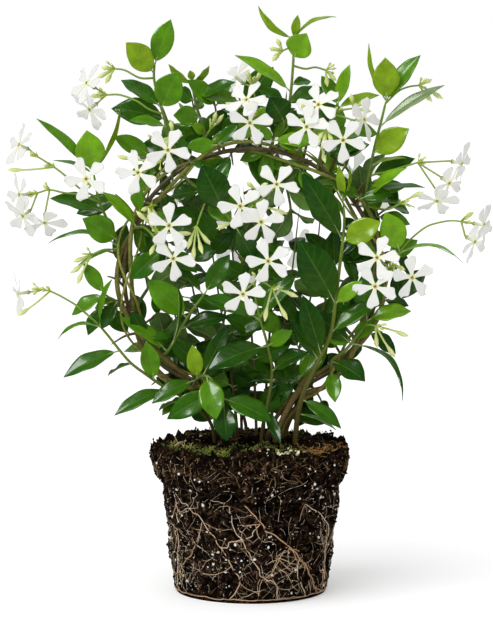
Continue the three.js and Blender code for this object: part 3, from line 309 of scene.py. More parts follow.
        sprays=[Spray(0.3, [(14, 26, 292)], [(0, (2, 26, 300))],
            [(0, "rear_top", (8, 38, 294), (-0.1, 0.95, 0.1)),
            (0, "rear_top", (25, 39, 302), (0.1, 0.95, 0.1))])]),
    "rear_right": Shoot(vine=3, at=248, path=[(78, 15, 252), (74, 22, 264), (68, 26, 278), (60, 28, 290)],
        pairs=3, length=36, turn=10,
        sprays=[Spray(0.5, [(76, 30, 270)], [(0, (90, 30, 276))],
            [(0, "rear_right", (82, 38, 262), (0.35, 0.9, 0)),
            (0, "rear_right", (70, 40, 280), (0, 0.95, 0.2))])]),
    "rear_low_right": Shoot(vine=3, at=302, path=[(64, 14, 176), (54, 21, 190), (44, 26, 204),
        (34, 29, 218)],
        pairs=3, length=36, turn=70,
        sprays=[Spray(0.9, [(38, 33, 222)], [(0, (44, 34, 236))],
            [(0, "rear_low_right", (48, 42, 216), (0.2, 0.95, 0)),
            (0, "rear_low_right", (30, 43, 228), (-0.1, 0.95, 0.2))])]),
    "rear_middle": Shoot(hole=(-3, 15), path=[(-10, 18, 128), (-16, 22, 150), (-19, 26, 172), (-16, 29, 192),
        (-9, 31, 210)],
        pairs=3, length=37, turn=30,
        sprays=[Spray(1, [(-6, 33, 220)], [(0, (4, 33, 232))],
            [(0, "rear_middle", (-12, 44, 228), (-0.15, 0.95, 0.1)),
            (0, "rear_middle", (4, 44, 214), (0.2, 0.95, -0.1))])]),
    "rear_low_left": Shoot(vine=1, at=40, path=[(-50, 14, 150), (-56, 19, 162), (-60, 22, 176)],
        pairs=3, length=36, turn=0),
}

# surface roots: turn round the ball and height; the first point lies on an earlier root
ROOTS = [
    [(-92, 3.2), (-80, 2.4), (-70, 2.2), (-61, 2.6), (-50, 2.2), (-40, 2.8), (-28, 2.4), (-16, 3),
        (-4, 2.4), (8, 2.8), (20, 2.4), (32, 3), (44, 2.4), (58, 2.8), (72, 2.4), (88, 3.2),
        (104, 2.4), (120, 3), (136, 2.4), (152, 3), (168, 2.6), (184, 3), (200, 2.4), (216, 3),
        (232, 2.4), (250, 3), (268, 3.2)],
    [(58, 2.8), (54, 8), (47, 17), (36, 30), (26, 38), (16, 46), (8, 53), (2, 60), (-4, 67)],
    [(20, 2.4), (17, 14), (9, 17), (3, 27), (-3, 38), (-9, 49), (-13, 56), (-14, 66)],
    [(9, 17), (16, 23), (20, 31), (24, 36.2)],
    [(-16, 3), (-8, 14), (-14, 26), (-20, 38), (-28, 48), (-38, 58), (-50, 66), (-56, 71)],
    [(-20, 38), (-10, 43), (0, 47), (6, 54.6)],
    [(-70, 2.2), (-66, 14), (-64, 30), (-60, 46), (-56, 60), (-58, 70)],
    [(-66, 14), (-54, 24), (-44, 34), (-34, 54)],
    [(44, 2.4), (38, 12), (34, 22), (36, 30)],
    [(72, 2.4), (70, 16), (64, 30), (68, 42), (60, 52), (48, 60), (38, 66)],
    [(104, 2.4), (98, 16), (90, 28), (84, 40), (88, 54), (80, 66)],
    [(136, 2.4), (130, 16), (122, 28), (112, 40), (108, 54), (112, 68)],
    [(168, 2.6), (160, 14), (158, 28), (166, 42), (162, 56), (170, 68)],
    [(200, 2.4), (196, 16), (186, 28), (166, 42)],
    [(232, 2.4), (224, 16), (216, 30), (206, 42), (200, 56), (208, 68)],
    [(250, 3), (254, 18), (262, 32), (258, 46), (266, 58), (262, 70)],
]


# --- curves


def on_curve(points: list[Vector], t: float) -> Vector:
    """Finds a point on the smooth curve through the given points.

    Args:
        points: what the curve passes through.
        t: the place along it, from 0 to 1, each span the same share.

    Returns:
        The point.
    """
    spans = len(points) - 1
    place = min(max(t, 0.0), 1.0) * spans
    i = min(int(place), spans - 1)
    w = place - i
    a, b = points[i], points[i + 1]
    before = points[i - 1] if i > 0 else 2 * a - b
    after = points[i + 2] if i + 2 <= spans else 2 * b - a
    leave, arrive = (b - before) / 2, (after - a) / 2
    square, cube = 3 * (b - a) - 2 * leave - arrive, 2 * (a - b) + leave + arrive
    return a + leave * w + square * w ** 2 + cube * w ** 3


def ring_frames(points: list[Vector], steps: int) -> list[tuple[Vector, Vector, Vector]]:
    """Carries a pair of sides along a curve without twist.

    Args:
        points: what the curve passes through.
        steps: how many spans are made of it.

    Returns:
        The centre, side and other side of each ring.
    """
    centres = [on_curve(points, k / steps) for k in range(steps + 1)]
    side = Vector((0.31, -0.87, 0.38))
    rings = []
    for k, centre in enumerate(centres):
        ahead = (centres[min(k + 1, steps)] - centres[max(k - 1, 0)]).normalized()
        side = (side - ahead * side.dot(ahead)).normalized()
        rings.append((centre, side, ahead.cross(side)))
    return rings


def smooth(low: float, high: float, value: float) -> float:
    """Rises softly from 0 to 1 as a value goes from low to high."""
    share = min(max((value - low) / (high - low), 0.0), 1.0)
    return share * share * (3 - 2 * share)


# --- meshes


class Skin:
    """One piece's mesh while it is made, in millimetres, with a UV map and a tint at each corner.

    Bmesh operators slow down as their mesh grows, so the shapes are made in batches that are joined last.
    """

    shapes_per_batch: int = 24

    def __init__(self) -> None:
        """Starts with one empty batch."""
        self.batches: list[bmesh.types.BMesh] = []
        self.start_batch()

    def start_batch(self) -> None:
        """Starts an empty batch with its layers."""
        self.bm = bmesh.new()
        self.uv = self.bm.loops.layers.uv.new("UVMap")
        self.tint = self.bm.verts.layers.float_color.new("tint")
        self.shapes = 0
        self.batches.append(self.bm)

    def count_shape(self) -> None:
        """Makes room for one more shape."""
        if self.shapes == self.shapes_per_batch:
            self.start_batch()
        self.shapes += 1

    def cloth(self, across: int, along: int, place: Callable[[float, float], Vector], finish: int = 0,
              tints: Tints = (WHITE, WHITE)) -> list[bmesh.types.BMVert]:
        """Lays a grid where a rule puts its corners, and joins corners that meet.

        Args:
            across: cells across, along u.
            along: cells along, along v.
            place: gives the point at u and v, each from 0 to 1.
            finish: the material's number.
            tints: the tint at the start and at the end of v.

        Returns:
            Its corners.
        """
        self.count_shape()
        made = bmesh.ops.create_grid(self.bm, x_segments=across, y_segments=along, size=1.0)["verts"]
        for corner in made:
            u, v = (corner.co.x + 1) / 2, (corner.co.y + 1) / 2
            for loop in corner.link_loops:
                loop[self.uv].uv = (u, v)
                loop.face.material_index = finish
                loop.face.smooth = True
            corner[self.tint] = blended(*tints, v)
            corner.co = place(u, v)
        bmesh.ops.remove_doubles(self.bm, verts=made, dist=0.001)
        return [corner for corner in made if corner.is_valid]

    def tube(self, points: list[Vector], radius: Callable[[float], float], sides: int, steps: int,
             finish: int = 0, tints: Tints = (WHITE, WHITE),
             furrow: Callable[[float, float], float] | None = None) -> None:
        """Sweeps a round section along a curve and closes both its ends.

        Args:
            points: what the curve passes through.
            radius: the radius at a place along it.
            sides: corners round it.
            steps: rings along it.
            finish: the material's number.
            tints: the tint at its start and its end.
            furrow: what the radius is multiplied by at a turn and a place, if it isn't round.
        """
        rings = ring_frames(points, steps)
        rows = steps + 2

        def place(u: float, v: float) -> Vector:
            """Puts the first and last rows on the curve and the others on its rings.

            Args:
                u: the share round the section.
                v: the share of the rows.

            Returns:
                The corner's point.
            """
            row = round(v * rows)
            k = min(max(row - 1, 0), steps)
            centre, side, other = rings[k]
            if row in (0, rows):
                return centre
            turn = 2 * math.pi * (u if u < 1 - 0.5 / sides else 0.0)
            reach = radius(k / steps) * (furrow(turn, k / steps) if furrow else 1.0)
            return centre + reach * (side * math.cos(turn) + other * math.sin(turn))

        self.cloth(sides, rows, place, finish, tints)

    def turned(self, profile: list[tuple[float, float]], sides: int, centre: Vector, axis: Vector,
               finish: int = 0, tints: Tints = (WHITE, WHITE)) -> None:
        """Turns a profile about an axis into a closed body that faces out.

        Args:
            profile: radius and height of each of its points, the first and last on the axis.
            sides: corners round it.
            centre: the profile's zero height.
            axis: the direction that heights are counted in.
            finish: the material's number.
            tints: the tint at its first and its last point.
        """
        side = axis.orthogonal().normalized()
        other = axis.cross(side)
        rows = len(profile) - 1

        def place(u: float, v: float) -> Vector:
            """Puts a corner at its turn and its point of the profile.

            Args:
                u: the share round the axis.
                v: the share of the profile.

            Returns:
                The corner's point.
            """
            radius, height = profile[round(v * rows)]
            turn = 2 * math.pi * (u if u < 1 - 0.5 / sides else 0.0)
            return centre + axis * height + radius * (side * math.cos(turn) + other * math.sin(turn))

        corners = self.cloth(sides, rows, place, finish, tints)
        faces = {face for corner in corners for face in corner.link_faces}
        bmesh.ops.recalc_face_normals(self.bm, faces=list(faces))

    def crumb(self, centre: Vector, size: Vector, rng: Random, finish: int = 0,
              tint: Colour = WHITE, rough: float = 0.5) -> None:
        """Adds an angular lump of twenty faces.

        Args:
            centre: its middle.
            size: half its extent each way, before it is turned.
            rng: the source of its shape and turn.
            finish: the material's number.
            tint: its colour.
            rough: how far its corners may depart from round.
        """
        self.count_shape()
        made = bmesh.ops.create_icosphere(self.bm, subdivisions=1, radius=1.0)["verts"]
        angle = rng.uniform(0, math.tau)
        turn = Matrix.Rotation(angle, 3, Vector((rng.random(), rng.random(), 0.4)).normalized())
        for corner in made:
            share = 1 - rough * rng.random()
            corner.co = centre + turn @ Vector(a * b * share for a, b in zip(corner.co, size))
            corner[self.tint] = tint
            for face in corner.link_faces:
                face.material_index = finish

    def thicken(self, thickness: float, lower_finish: int) -> None:
        """Gives every face so far a wall below it.

        Args:
            thickness: the wall's thickness.
            lower_finish: the material's number on its underside.
        """
        for batch in self.batches:
            made = bmesh.ops.solidify(batch, geom=batch.faces[:], thickness=thickness)["geom"]
            for part in made:
                if isinstance(part, bmesh.types.BMFace):
                    part.material_index = lower_finish

    def done(self, name: str, finishes: list[Material], slot: str, nodes: list[str]) -> Piece:
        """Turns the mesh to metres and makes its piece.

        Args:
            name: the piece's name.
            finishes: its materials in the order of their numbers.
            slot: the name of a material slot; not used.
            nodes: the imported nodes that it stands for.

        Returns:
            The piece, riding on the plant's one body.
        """
        mesh = bpy.data.meshes.new(name)
        joined = bmesh.new()
        for batch in self.batches:
            batch.to_mesh(mesh)
            batch.free()
            joined.from_mesh(mesh)
        bmesh.ops.scale(joined, vec=(MM, MM, MM), verts=joined.verts)
        joined.to_mesh(mesh)
        joined.free()
        for finish in finishes:
            mesh.materials.append(finish)
        piece = bpy.data.objects.new(name, mesh)
        bpy.context.scene.collection.objects.link(piece)
        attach(piece, "root")
        if nodes:
            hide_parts(*nodes)
        LOG.info("%s: %d faces", name, len(mesh.polygons))
        return piece


# --- hoop and vines


SOIL_LEVEL = 100.0


@dataclass(frozen=True)
class Hoop:
    """The wire hoop that the vines wind round, its two legs deep in the soil."""

    radius: float = 85.0
    centre: float = 213.0
    wire: float = 1.5
    leg_x: float = 11.0
    leg_depth: float = 62.0
    opening: float = 21.0
    arcs: int = 12
    sides: int = 12
    steps: int = 150

    def beside(self, degrees: float, distance: float = 0.0, turn: float = 0.0) -> Vector:
        """Finds a point beside the wire.

        Args:
            degrees: the place round the hoop, 0 at the bottom and 90 at the left.
            distance: how far from the wire's middle.
            turn: the turn round the wire, in radians.

        Returns:
            The point.
        """
        angle = math.radians(degrees)
        reach = self.radius + distance * math.cos(turn)
        return Vector((-reach * math.sin(angle), distance * math.sin(turn),
                       self.centre - reach * math.cos(angle)))

    def away(self, degrees: float) -> Vector:
        """Finds the way straight out from the hoop's middle at a place round it."""
        return (self.beside(degrees, 10) - self.beside(degrees)).normalized()

    def path(self) -> list[Vector]:
        """Runs up one leg, round the hoop and down the other leg.

        Returns:
            The points of the wire's middle.
        """
        sweep = 360 - 2 * self.opening
        arc = [self.beside(self.opening + sweep * i / self.arcs) for i in range(self.arcs + 1)]
        leg = [SOIL_LEVEL + height for height in (-self.leg_depth, -self.leg_depth / 2, 4)]
        up = [Vector((-self.leg_x, 0, z)) for z in leg]
        down = [Vector((self.leg_x, 0, z)) for z in reversed(leg)]
        return up + arc + down

    def build(self, finish: Material) -> Piece:
        """Bends the wire and dresses it.

        Args:
            finish: the wire's coating.

        Returns:
            The piece.
        """
        skin = Skin()
        skin.tube(self.path(), lambda t: self.wire, self.sides, self.steps)
        return skin.done("hoop_wire", [finish], "wire", ["support_hoop"])


HOOP = Hoop()


@dataclass(frozen=True)
class Vine:
    """A woody stem that rises from the soil and winds round the hoop, brown below and green above."""

    number: int
    hole: tuple[float, float]
    start: float
    end: float
    phase: float
    offset: float = 4.9
    twist: float = 4.1
    thick: float = 2.1
    thin: float = 1.0
    depth: float = 58.0
    span: float = 9.0
    sides: int = 10
    rings_per_span: int = 7
    knot_spacing: float = 3.2
    knot_height: float = 0.16
    wobble: float = 0.08
    tints: Tints = (linear("#6b5230"), linear("#879440"))

    def at(self, degrees: float) -> Vector:
        """Finds the stem's middle at an angle round the hoop."""
        return HOOP.beside(degrees, self.offset, math.radians(self.phase + self.twist * degrees))

    def path(self) -> list[Vector]:
        """Runs up from the foot in the soil and round the hoop.

        Returns:
            The points of the stem's middle.
        """
        x, y = self.hole
        sweep = self.end - self.start
        count = math.ceil(abs(sweep) / self.span)
        foot = [Vector((x, y, SOIL_LEVEL + height)) for height in (-self.depth, -self.depth / 2, 6)]
        return foot + [self.at(self.start + sweep * i / count) for i in range(count + 1)]

    def taper(self, t: float) -> float:
        """Gives the stem's radius at a place along it, without its knots."""
        return self.thick + (self.thin - self.thick) * t

    def build(self, finish: Material) -> Piece:
        """Grows the stem with its leaf knots and dresses it.

        Args:
            finish: its bark.

        Returns:
            The piece.
        """
        path = self.path()
        knots = len(path) / self.knot_spacing

        def radius(t: float) -> float:
            """Tapers towards the tip and swells at each knot.

            Args:
                t: the place along the stem.

            Returns:
                The radius.
            """
            knot = max(0.0, math.cos(math.tau * knots * t)) ** 8
            wobble = noise.noise(Vector((t * 40, self.number * 7.0, 0.0))) * self.wobble
            return self.taper(t) * (1 + self.knot_height * knot + wobble) * pointed(t)

        skin = Skin()
        skin.tube(path, radius, self.sides, self.rings_per_span * (len(path) - 1), tints=self.tints)
        return skin.done(f"vine_stem_{self.number}", [finish], "bark", [f"vine_{self.number}"])


def pointed(t: float) -> float:
    """Draws the last stretch of a stem out to a point."""
    return 1 - 0.85 * smooth(0.9, 1.0, t)


VINES = (
    Vine(1, (-19, 9), 24, 206, 0),
    Vine(2, (-17, -9), 26, 168, 180),
    Vine(3, (23, 8), 336, 176, 90),
    Vine(4, (17, -10), 334, 196, 270),
)


# thin green runners: number, hole, start, end, phase, offset, twist, thick and thin
RUNNER_TINTS = (linear("#7a6c36"), linear("#a2b04c"))
RUNNERS = [Vine(*row, span=7.0, sides=7, rings_per_span=6, tints=RUNNER_TINTS) for row in (
    (5, (-20, 4), 22, 190, 120, 6.6, 5.6, 1.15, 0.6),
    (6, (-16, -4), 24, 150, 300, 7.4, -4.6, 1.0, 0.55),
    (7, (21, 3), 338, 196, 40, 6.8, 5.2, 1.1, 0.6),
)]


def build_runners(finish: Material) -> Piece:
    """Winds thin green runners loosely round the hoop and its vines.

    Args:
        finish: their bark.

    Returns:
        The piece.
    """
    skin = Skin()
    for runner in RUNNERS:
        path = runner.path()
        skin.tube(path, lambda t: runner.taper(t) * pointed(t), runner.sides,
                  runner.rings_per_span * (len(path) - 1), tints=runner.tints)
    return skin.done("vine_runners", [finish], "bark", [])


# --- leaf, bud and bloom


class Part(IntEnum):
    """The materials of a shoot in the order of their numbers."""

    LEAF_UPPER = 0
    LEAF_UNDER = 1
    STEM = 2
    BUD = 3


# how a leaf that would cross something is bent clear: its tip moved back and up
BENDS = ((0, 0), (-5, 0), (5, 0), (-10, 0), (10, 0), (0, 5), (0, -5), (-5, 5), (5, 5), (-5, -5), (5, -5),
         (-15, 0), (15, 0), (-10, 8), (10, 8), (-10, -8), (10, -8), (-20, 4), (20, 4), (-26, 0), (26, 0),
         (0, 12), (0, -12))


@dataclass(frozen=True)
class Leaf:
    """A leathery leaf on a petiole: an ellipse with a drawn-out tip, folded a little along its midrib."""

    base: Vector
    tip: Vector
    width: float
    face: Vector
    bow: float
    tone: Tone
    wave: float = 0.0
    across: int = 8
    along: int = 18
    thickness: float = 0.32
    petiole: float = 0.09
    fold: float = 0.22
    rib: float = 1.6

    def axes(self) -> tuple[Vector, Vector, Vector, float]:
        """Works out the leaf's length-wise axis, its upper normal, its side and its length.

        Returns:
            The three directions and the length.
        """
        run = self.tip - self.base
        axis = run.normalized()
        normal = (self.face - axis * self.face.dot(axis)).normalized()
        return axis, normal, axis.cross(normal), run.length

    def half_width(self, v: float) -> float:
        """Gives half the blade's width at a place along it, nothing on the petiole.

        Args:
            v: the place.

        Returns:
            The half width.
        """
        b = (v - self.petiole) / (1 - self.petiole)
        if b <= 0 or b >= 1:
            return 0.0
        outline = math.sin(math.pi * b ** 0.93) ** 0.8
        return self.width / 2 * outline * (1 - 0.3 * smooth(0.78, 1.0, b))

    def middle(self, v: float, normal: Vector, length: float) -> Vector:
        """Finds the midrib's point at a place along the leaf, on its bow."""
        lift = self.bow * length * 4 * v * (1 - v) + self.rib / 3
        return self.base.lerp(self.tip, v) + normal * lift

    def blade(self, skin: Skin) -> None:
        """Lays the blade, its edges raised and gently waved.

        Args:
            skin: the mesh that takes it.
        """
        _, normal, side, length = self.axes()

        def place(u: float, v: float) -> Vector:
            """Puts a corner of the blade.

            Args:
                u: the share across the blade.
                v: the share along it.

            Returns:
                The corner's point.
            """
            v = self.petiole + (1 - self.petiole) * v
            s = 2 * u - 1
            half = self.half_width(v)
            ripple = math.sin(math.tau * (2.2 * v + self.wave) + (1.4 if s > 0 else 0.0)) * 0.09
            quilt = 0.02 * math.sin(math.tau * (8 * v - 0.9 * abs(s)))
            lift = half * ((self.fold + ripple * abs(s)) * abs(s) + quilt * math.sin(math.pi * abs(s)))
            return self.middle(v, normal, length) + side * (s * half) + normal * lift

        colour = linear(self.tone.value)
        skin.cloth(self.across, self.along, place, Part.LEAF_UPPER,
                   (blended(colour, linear(Tone.YOUNG.value), 0.12), colour))

    def ribs(self, skin: Skin) -> None:
        """Adds the petiole and the midrib that stands out below the blade.

        Args:
            skin: the mesh that takes them.
        """
        _, normal, _, length = self.axes()
        points = [self.base]
        for v in (self.petiole, 0.3, 0.55, 0.86):
            points.append(self.middle(v, normal, length) - normal * (0.42 if v > self.petiole else 0.2))
        green = blended(linear(self.tone.value), linear("#b9c98a"), 0.55)
        skin.tube(points, lambda t: 0.62 - 0.42 * t, 5, 9, Part.STEM, (green, green))


def lay_leaves(skin: Skin, leaves: list[Leaf]) -> None:
    """Lays leaves with their thickness, petioles and midribs.

    Args:
        skin: the mesh that takes them, which holds nothing else yet.
        leaves: the leaves.
    """
    for leaf in leaves:
        leaf.blade(skin)
    skin.thicken(Leaf.thickness, Part.LEAF_UNDER)
    for leaf in leaves:
        leaf.ribs(skin)


@dataclass(frozen=True)
class Bud:
    """A furled bud: five petals wound to a point on a slim tube, green at its foot and cream above."""

    foot: Vector
    tip: Vector
    length: float = 11.0
    most: float = 0.8
    radius: float = 1.5
    stalk: float = 0.62
    furrows: int = 5
    furrow_depth: float = 0.14
    wind: float = 2.4
    tints: Tints = (linear("#8fae3a"), linear("#e6e9a6"))

    def build(self, skin: Skin) -> None:
        """Winds the bud.

        Args:
            skin: the mesh that takes it.
        """
        run = (self.tip - self.foot).length
        start = 1 - min(self.most, self.length / run)
        swell = (1 - start) * 0.6 + start

        def radius(t: float) -> float:
            """Stays slim, swells towards the tip and ends in a point."""
            grown = smooth(start, swell, t) * (self.radius - self.stalk)
            return (self.stalk + grown) * (1 - smooth(swell + 0.02, 1.06, t)) + 0.05

        def furrow(turn: float, t: float) -> float:
            """Cuts the wound furrows between the petals."""
            depth = self.furrow_depth * smooth(start, swell, t)
            return 1 + depth * math.cos(self.furrows * (turn + self.wind * t))

        across = (self.tip - self.foot).orthogonal().normalized() * (0.03 * run)
        points = [self.foot, self.foot.lerp(self.tip, 0.5) + across, self.tip]
        skin.tube(points, radius, 10, 16, Part.BUD, self.tints, furrow)


@dataclass(frozen=True)
class Bloom:
    """An open flower: five blunt petals turned like a pinwheel on a slim tube with a yellow throat."""

    centre: Vector
    facing: Vector
    turn: float
    reach: float = 15.2
    throat: float = 1.35
    tube: float = 8.0
    petals: int = 5
    # how far the blooms at the far left are greyed towards shaded: painted shade
    far_left_painted_shade: float = 0.45
    shaded: Colour = linear("#e0e2e0")
    thickness: float = 0.28
    across: int = 8
    along: int = 12
    foot_width: float = 1.15
    spread: float = 3.0
    slant: float = 0.055
    turn_step: int = 47

    def axes(self) -> tuple[Vector, Vector, Vector]:
        """Works out the flower's axis and the two sides of its face.

        Returns:
            The three directions.
        """
        axis = self.facing.normalized()
        side = (Vector((1, 0, 0)) - axis * axis.x).normalized()
        return axis, side, axis.cross(side)

    def lay_petals(self, skin: Skin, rng: Random) -> None:
        """Lays the five petals, each a little different.

        Args:
            skin: the mesh that takes them.
            rng: the source of the differences.
        """
        axis, side, other = self.axes()
        for k in range(self.petals):
            heading = math.radians(360 / self.petals * k + self.turn + rng.uniform(-3, 3) - 2)
            droop = rng.uniform(-0.05, 0.03)
            curl = rng.uniform(0.02, 0.09)
            outward = side * math.cos(heading) + other * math.sin(heading)
            sideways = other * math.cos(heading) - side * math.sin(heading)

            def place(u: float, v: float) -> Vector:
                """Puts a corner of a petal: a narrow foot and a broad slanting end.

                Args:
                    u: the share across the petal.
                    v: the share along it.

                Returns:
                    The corner's point.
                """
                s = 1 - 2 * u
                end = math.sqrt(max(0.0, 1 - (max(0.0, v - 0.78) / 0.22) ** 2.4))
                half = (self.foot_width + self.spread * smooth(0.05, 0.86, v)) * (0.22 + 0.78 * end)
                start = self.throat * 0.6
                radius = start + (self.reach * (0.955 - self.slant * s) - start) * v
                swing = -0.5 * math.sin(math.pi * v) - 0.5 * v * v
                bowl = 0.045 * s * s * half
                rise = (0.05 + droop) * v * v - 0.062 * s * v - curl * smooth(0.6, 1.0, v) * 0.5
                return (self.centre + outward * radius + sideways * (s * half + swing)
                        + axis * (self.reach * rise + bowl + 0.15))

            # painted shade: blooms towards the far left are greyed towards the shaded colour
            painted_shade_share = self.far_left_painted_shade * smooth(70, 140, -self.centre.x)
            tone = blended(WHITE, self.shaded, painted_shade_share)
            skin.cloth(self.across, self.along, place, 0, (tone, tone))

    def lay_tube(self, skin: Skin) -> None:
        """Adds the throat, the tube, the anthers' tip and the five small lobes of the calyx.

        Args:
            skin: the mesh that takes them.
        """
        axis, side, other = self.axes()
        funnel = [(0, -1.6), (0.5, -1.2), (0.8, -0.5), (1.1, 0.1), (self.throat, 0.36), (0, -1.7)]
        outside = [(0, -2.2), (self.throat + 0.1, 0.1), (1.25, -0.9), (1.05, -2.2), (1.12, -4.2), (1.2, -5.6),
                   (0.9, -self.tube), (0, -self.tube)]
        anthers = [(0, 0.7), (0.4, -0.1), (0.45, -1.0), (0, -1.2)]
        # the throat's funnel darkens from its yellow rim to dark olive at its bottom: painted shade deep in
        # the tube
        for profile, sides, tints in ((funnel, 10, (linear("#5a4a10"), linear("#d6cf5e"))),
                                      (outside, 10, (linear("#f4f5e6"), TUBE_FOOT)),
                                      (anthers, 5, (linear("#8a6420"), linear("#a98a35")))):
            skin.turned(profile, sides, self.centre, axis, 2, tints)
        for k in range(self.petals):
            turn = math.radians(360 / self.petals * k + self.turn)
            out = side * math.cos(turn) + other * math.sin(turn)
            foot = self.centre - axis * (self.tube - 0.6) + out * 0.7
            tip = foot + out * 1.5 + axis * 1.2
            skin.tube([foot, tip], lambda t: 0.42 - 0.36 * t, 3, 2, 2, (linear("#6f8f3a"),) * 2)


@dataclass
class BloomCluster:
    """Flowers that touch, made as one piece."""

    name: str
    blooms: list[Bloom]

    def build(self, finishes: list[Material], rng: Random) -> Piece:
        """Opens the flowers and dresses them.

        Args:
            finishes: petal, petal underside, and throat and tube.
            rng: the source of their differences.

        Returns:
            The piece.
        """
        skin = Skin()
        for bloom in self.blooms:
            bloom.lay_petals(skin, rng)
        skin.thicken(Bloom.thickness, 1)
        for bloom in self.blooms:
            bloom.lay_tube(skin)
        return skin.done(f"flower_{self.name}", finishes, "petal", [f"bloom_{self.name}"])


def bloom_clusters() -> list[BloomCluster]:
    """Gathers the open blooms by the node that they stand for, each turned by its place in the tables.

    Returns:
        The clusters.
    """
    clusters: dict[str, BloomCluster] = {}
    count = 0
    for shoot in SHOOTS.values():
        for spray in shoot.sprays:
            for _, name, centre, facing in spray.blooms:
                count += 1
                bloom = Bloom(Vector(centre), Vector(facing), Bloom.turn_step * count % (360 // Bloom.petals))
                clusters.setdefault(name, BloomCluster(name, [])).blooms.append(bloom)
    return list(clusters.values())


def fanned(ahead: Vector, rng: Random) -> Vector:
    """Picks a heading round the way that a stalk points."""
    turn = Vector((rng.gauss(0, 1), rng.gauss(0, 1), rng.gauss(0, 1)))
    return (ahead * 0.9 + turn.normalized() * 0.75 + Vector((0, 0, 0.2))).normalized()


def grow_bracts(skin: Skin, foot: Vector, ahead: Vector, count: int, rng: Random) -> None:
    """Fans small pointed scales out where a flower stalk forks.

    Args:
        skin: the mesh that takes them.
        foot: the fork.
        ahead: the way that the stalk points.
        count: how many.
        rng: the source of their turns.
    """
    for _ in range(count):
        green = blended(*BRACT_TONES, rng.random())
        skin.tube([foot, foot + fanned(ahead, rng) * rng.uniform(2.2, 4.8)], lambda t: 0.75 - 0.66 * t, 4, 2,
                  Part.BUD, (green, green))


@dataclass(frozen=True)
class BudTuft:
    """A tuft of buds among the open flowers, on a short stalk of its own."""

    root: Point
    foot: Point
    tips: tuple[Point, ...]
    stalk: float = 0.6
    bracts: int = 9

    def grow(self, skin: Skin, rng: Random) -> None:
        """Grows the stalk, the buds and their bracts.

        Args:
            skin: the mesh that takes them.
            rng: the source of the bracts' turns.
        """
        root, foot = Vector(self.root), Vector(self.foot)
        middle = root.lerp(foot, 0.5) + Vector((0, -1, 1))
        skin.tube([root, middle, foot], lambda t: self.stalk * (1.3 - 0.3 * t), 6, 8, Part.STEM,
                  (GREEN_STALK, PALE_STALK))
        for tip in self.tips:
            Bud(foot, Vector(tip)).build(skin)
        grow_bracts(skin, foot, (foot - middle).normalized(), self.bracts, rng)


BUD_TUFTS = [BudTuft(*row) for row in (
    ((-46, -3, 297), (-52, -20, 308),
        ((-61, -23, 303), (-58, -25, 299), (-53, -23, 318), (-45, -22, 308))),
    ((-29, -14, 266), (-36, -22, 248),
        ((-38, -27, 226), (-32, -28, 230), (-27, -25, 236), (-42, -26, 233))),
    ((-70, -4, 262), (-66, -14, 261), ((-68, -18, 250), (-73, -18, 258), (-62, -18, 252))),
    ((2, -20, 262), (4, -26, 272), ((-3, -28, 278), (11, -29, 277))),
    ((47, -4, 303), (38, -12, 320), ((30, -16, 316), (33, -17, 329))),
    ((47, -4, 303), (50, -18, 312), ((48, -24, 301), (54, -24, 303), (44, -22, 305), (56, -21, 318))),
    ((55, 2, 321), (68, -4, 325), ((77, -8, 330), (66, -8, 335), (80, -7, 323))),
    ((-71, -8, 246), (-62, -20, 238), ((-67, -25, 229), (-59, -26, 230))),
    ((93, -12, 218), (94, -20, 222), ((97, -25, 213), (102, -24, 219))),
    ((5, 8, 321), (-8, -4, 326), ((-14, -10, 318), (-17, -9, 329))),
)]


def build_bud_tufts(finishes: list[Material], rng: Random) -> Piece:
    """Grows every tuft of buds as one piece.

    Args:
        finishes: upper leaf, leaf underside, stem and bud.
        rng: the source of the bracts' turns.

    Returns:
        The piece.
    """
    skin = Skin()
    for tuft in BUD_TUFTS:
        tuft.grow(skin, rng)
    return skin.done("bud_tufts", finishes, "foliage", [])


# --- shoots


def stem_axes(path: list[Vector], t: float) -> tuple[Vector, Vector, Vector, Vector]:
    """Works out how a stem lies where a pair of leaves springs from it.

    Args:
        path: the stem's points.
        t: the place along it.

    Returns:
        The point, the way ahead, the way out to the back and the way across.
    """
    ahead = (on_curve(path, t + 0.02) - on_curve(path, t - 0.02)).normalized()
    out = (Vector((0, 1, 0)) - ahead * ahead.y).normalized()
    return on_curve(path, t), ahead, out, ahead.cross(out)


@dataclass(frozen=True)
class PairRule:
    """How a rear shoot sets its leaves in opposite pairs, each pair square to the one below."""

    start: float = 0.22
    span: float = 0.74
    spread: float = 0.84
    ahead: float = 0.5
    width: float = 0.42
    shorter: float = 0.09
    behind: float = 7.0

    def leaves(self, path: list[Vector], shoot: Shoot) -> Iterator[tuple]:
        """Sets the pairs.

        Args:
            path: the shoot's points.
            shoot: how many pairs, their length and first turn.

        Yields:
            A leaf's place, tip, width, face and tone.
        """
        tones = (DARK, DEEP, MID)
        for k in range(shoot.pairs):
            t = self.start + self.span * (k + 0.5) / shoot.pairs
            base, ahead, out, across = stem_axes(path, t)
            angle = math.radians(shoot.turn + 90 * k)
            reach = shoot.length * (1 - self.shorter * k)
            for side in (-1, 1):
                spread = side * reach * self.spread
                tip = (base + out * (spread * math.cos(angle)) + across * (spread * math.sin(angle))
                       + ahead * (reach * self.ahead))
                tip.y = max(tip.y, self.behind)
                face = (ahead.x, ahead.y + 0.5, ahead.z)
                yield t, tip, shoot.length * self.width, face, tones[(k + (side > 0)) % len(tones)]


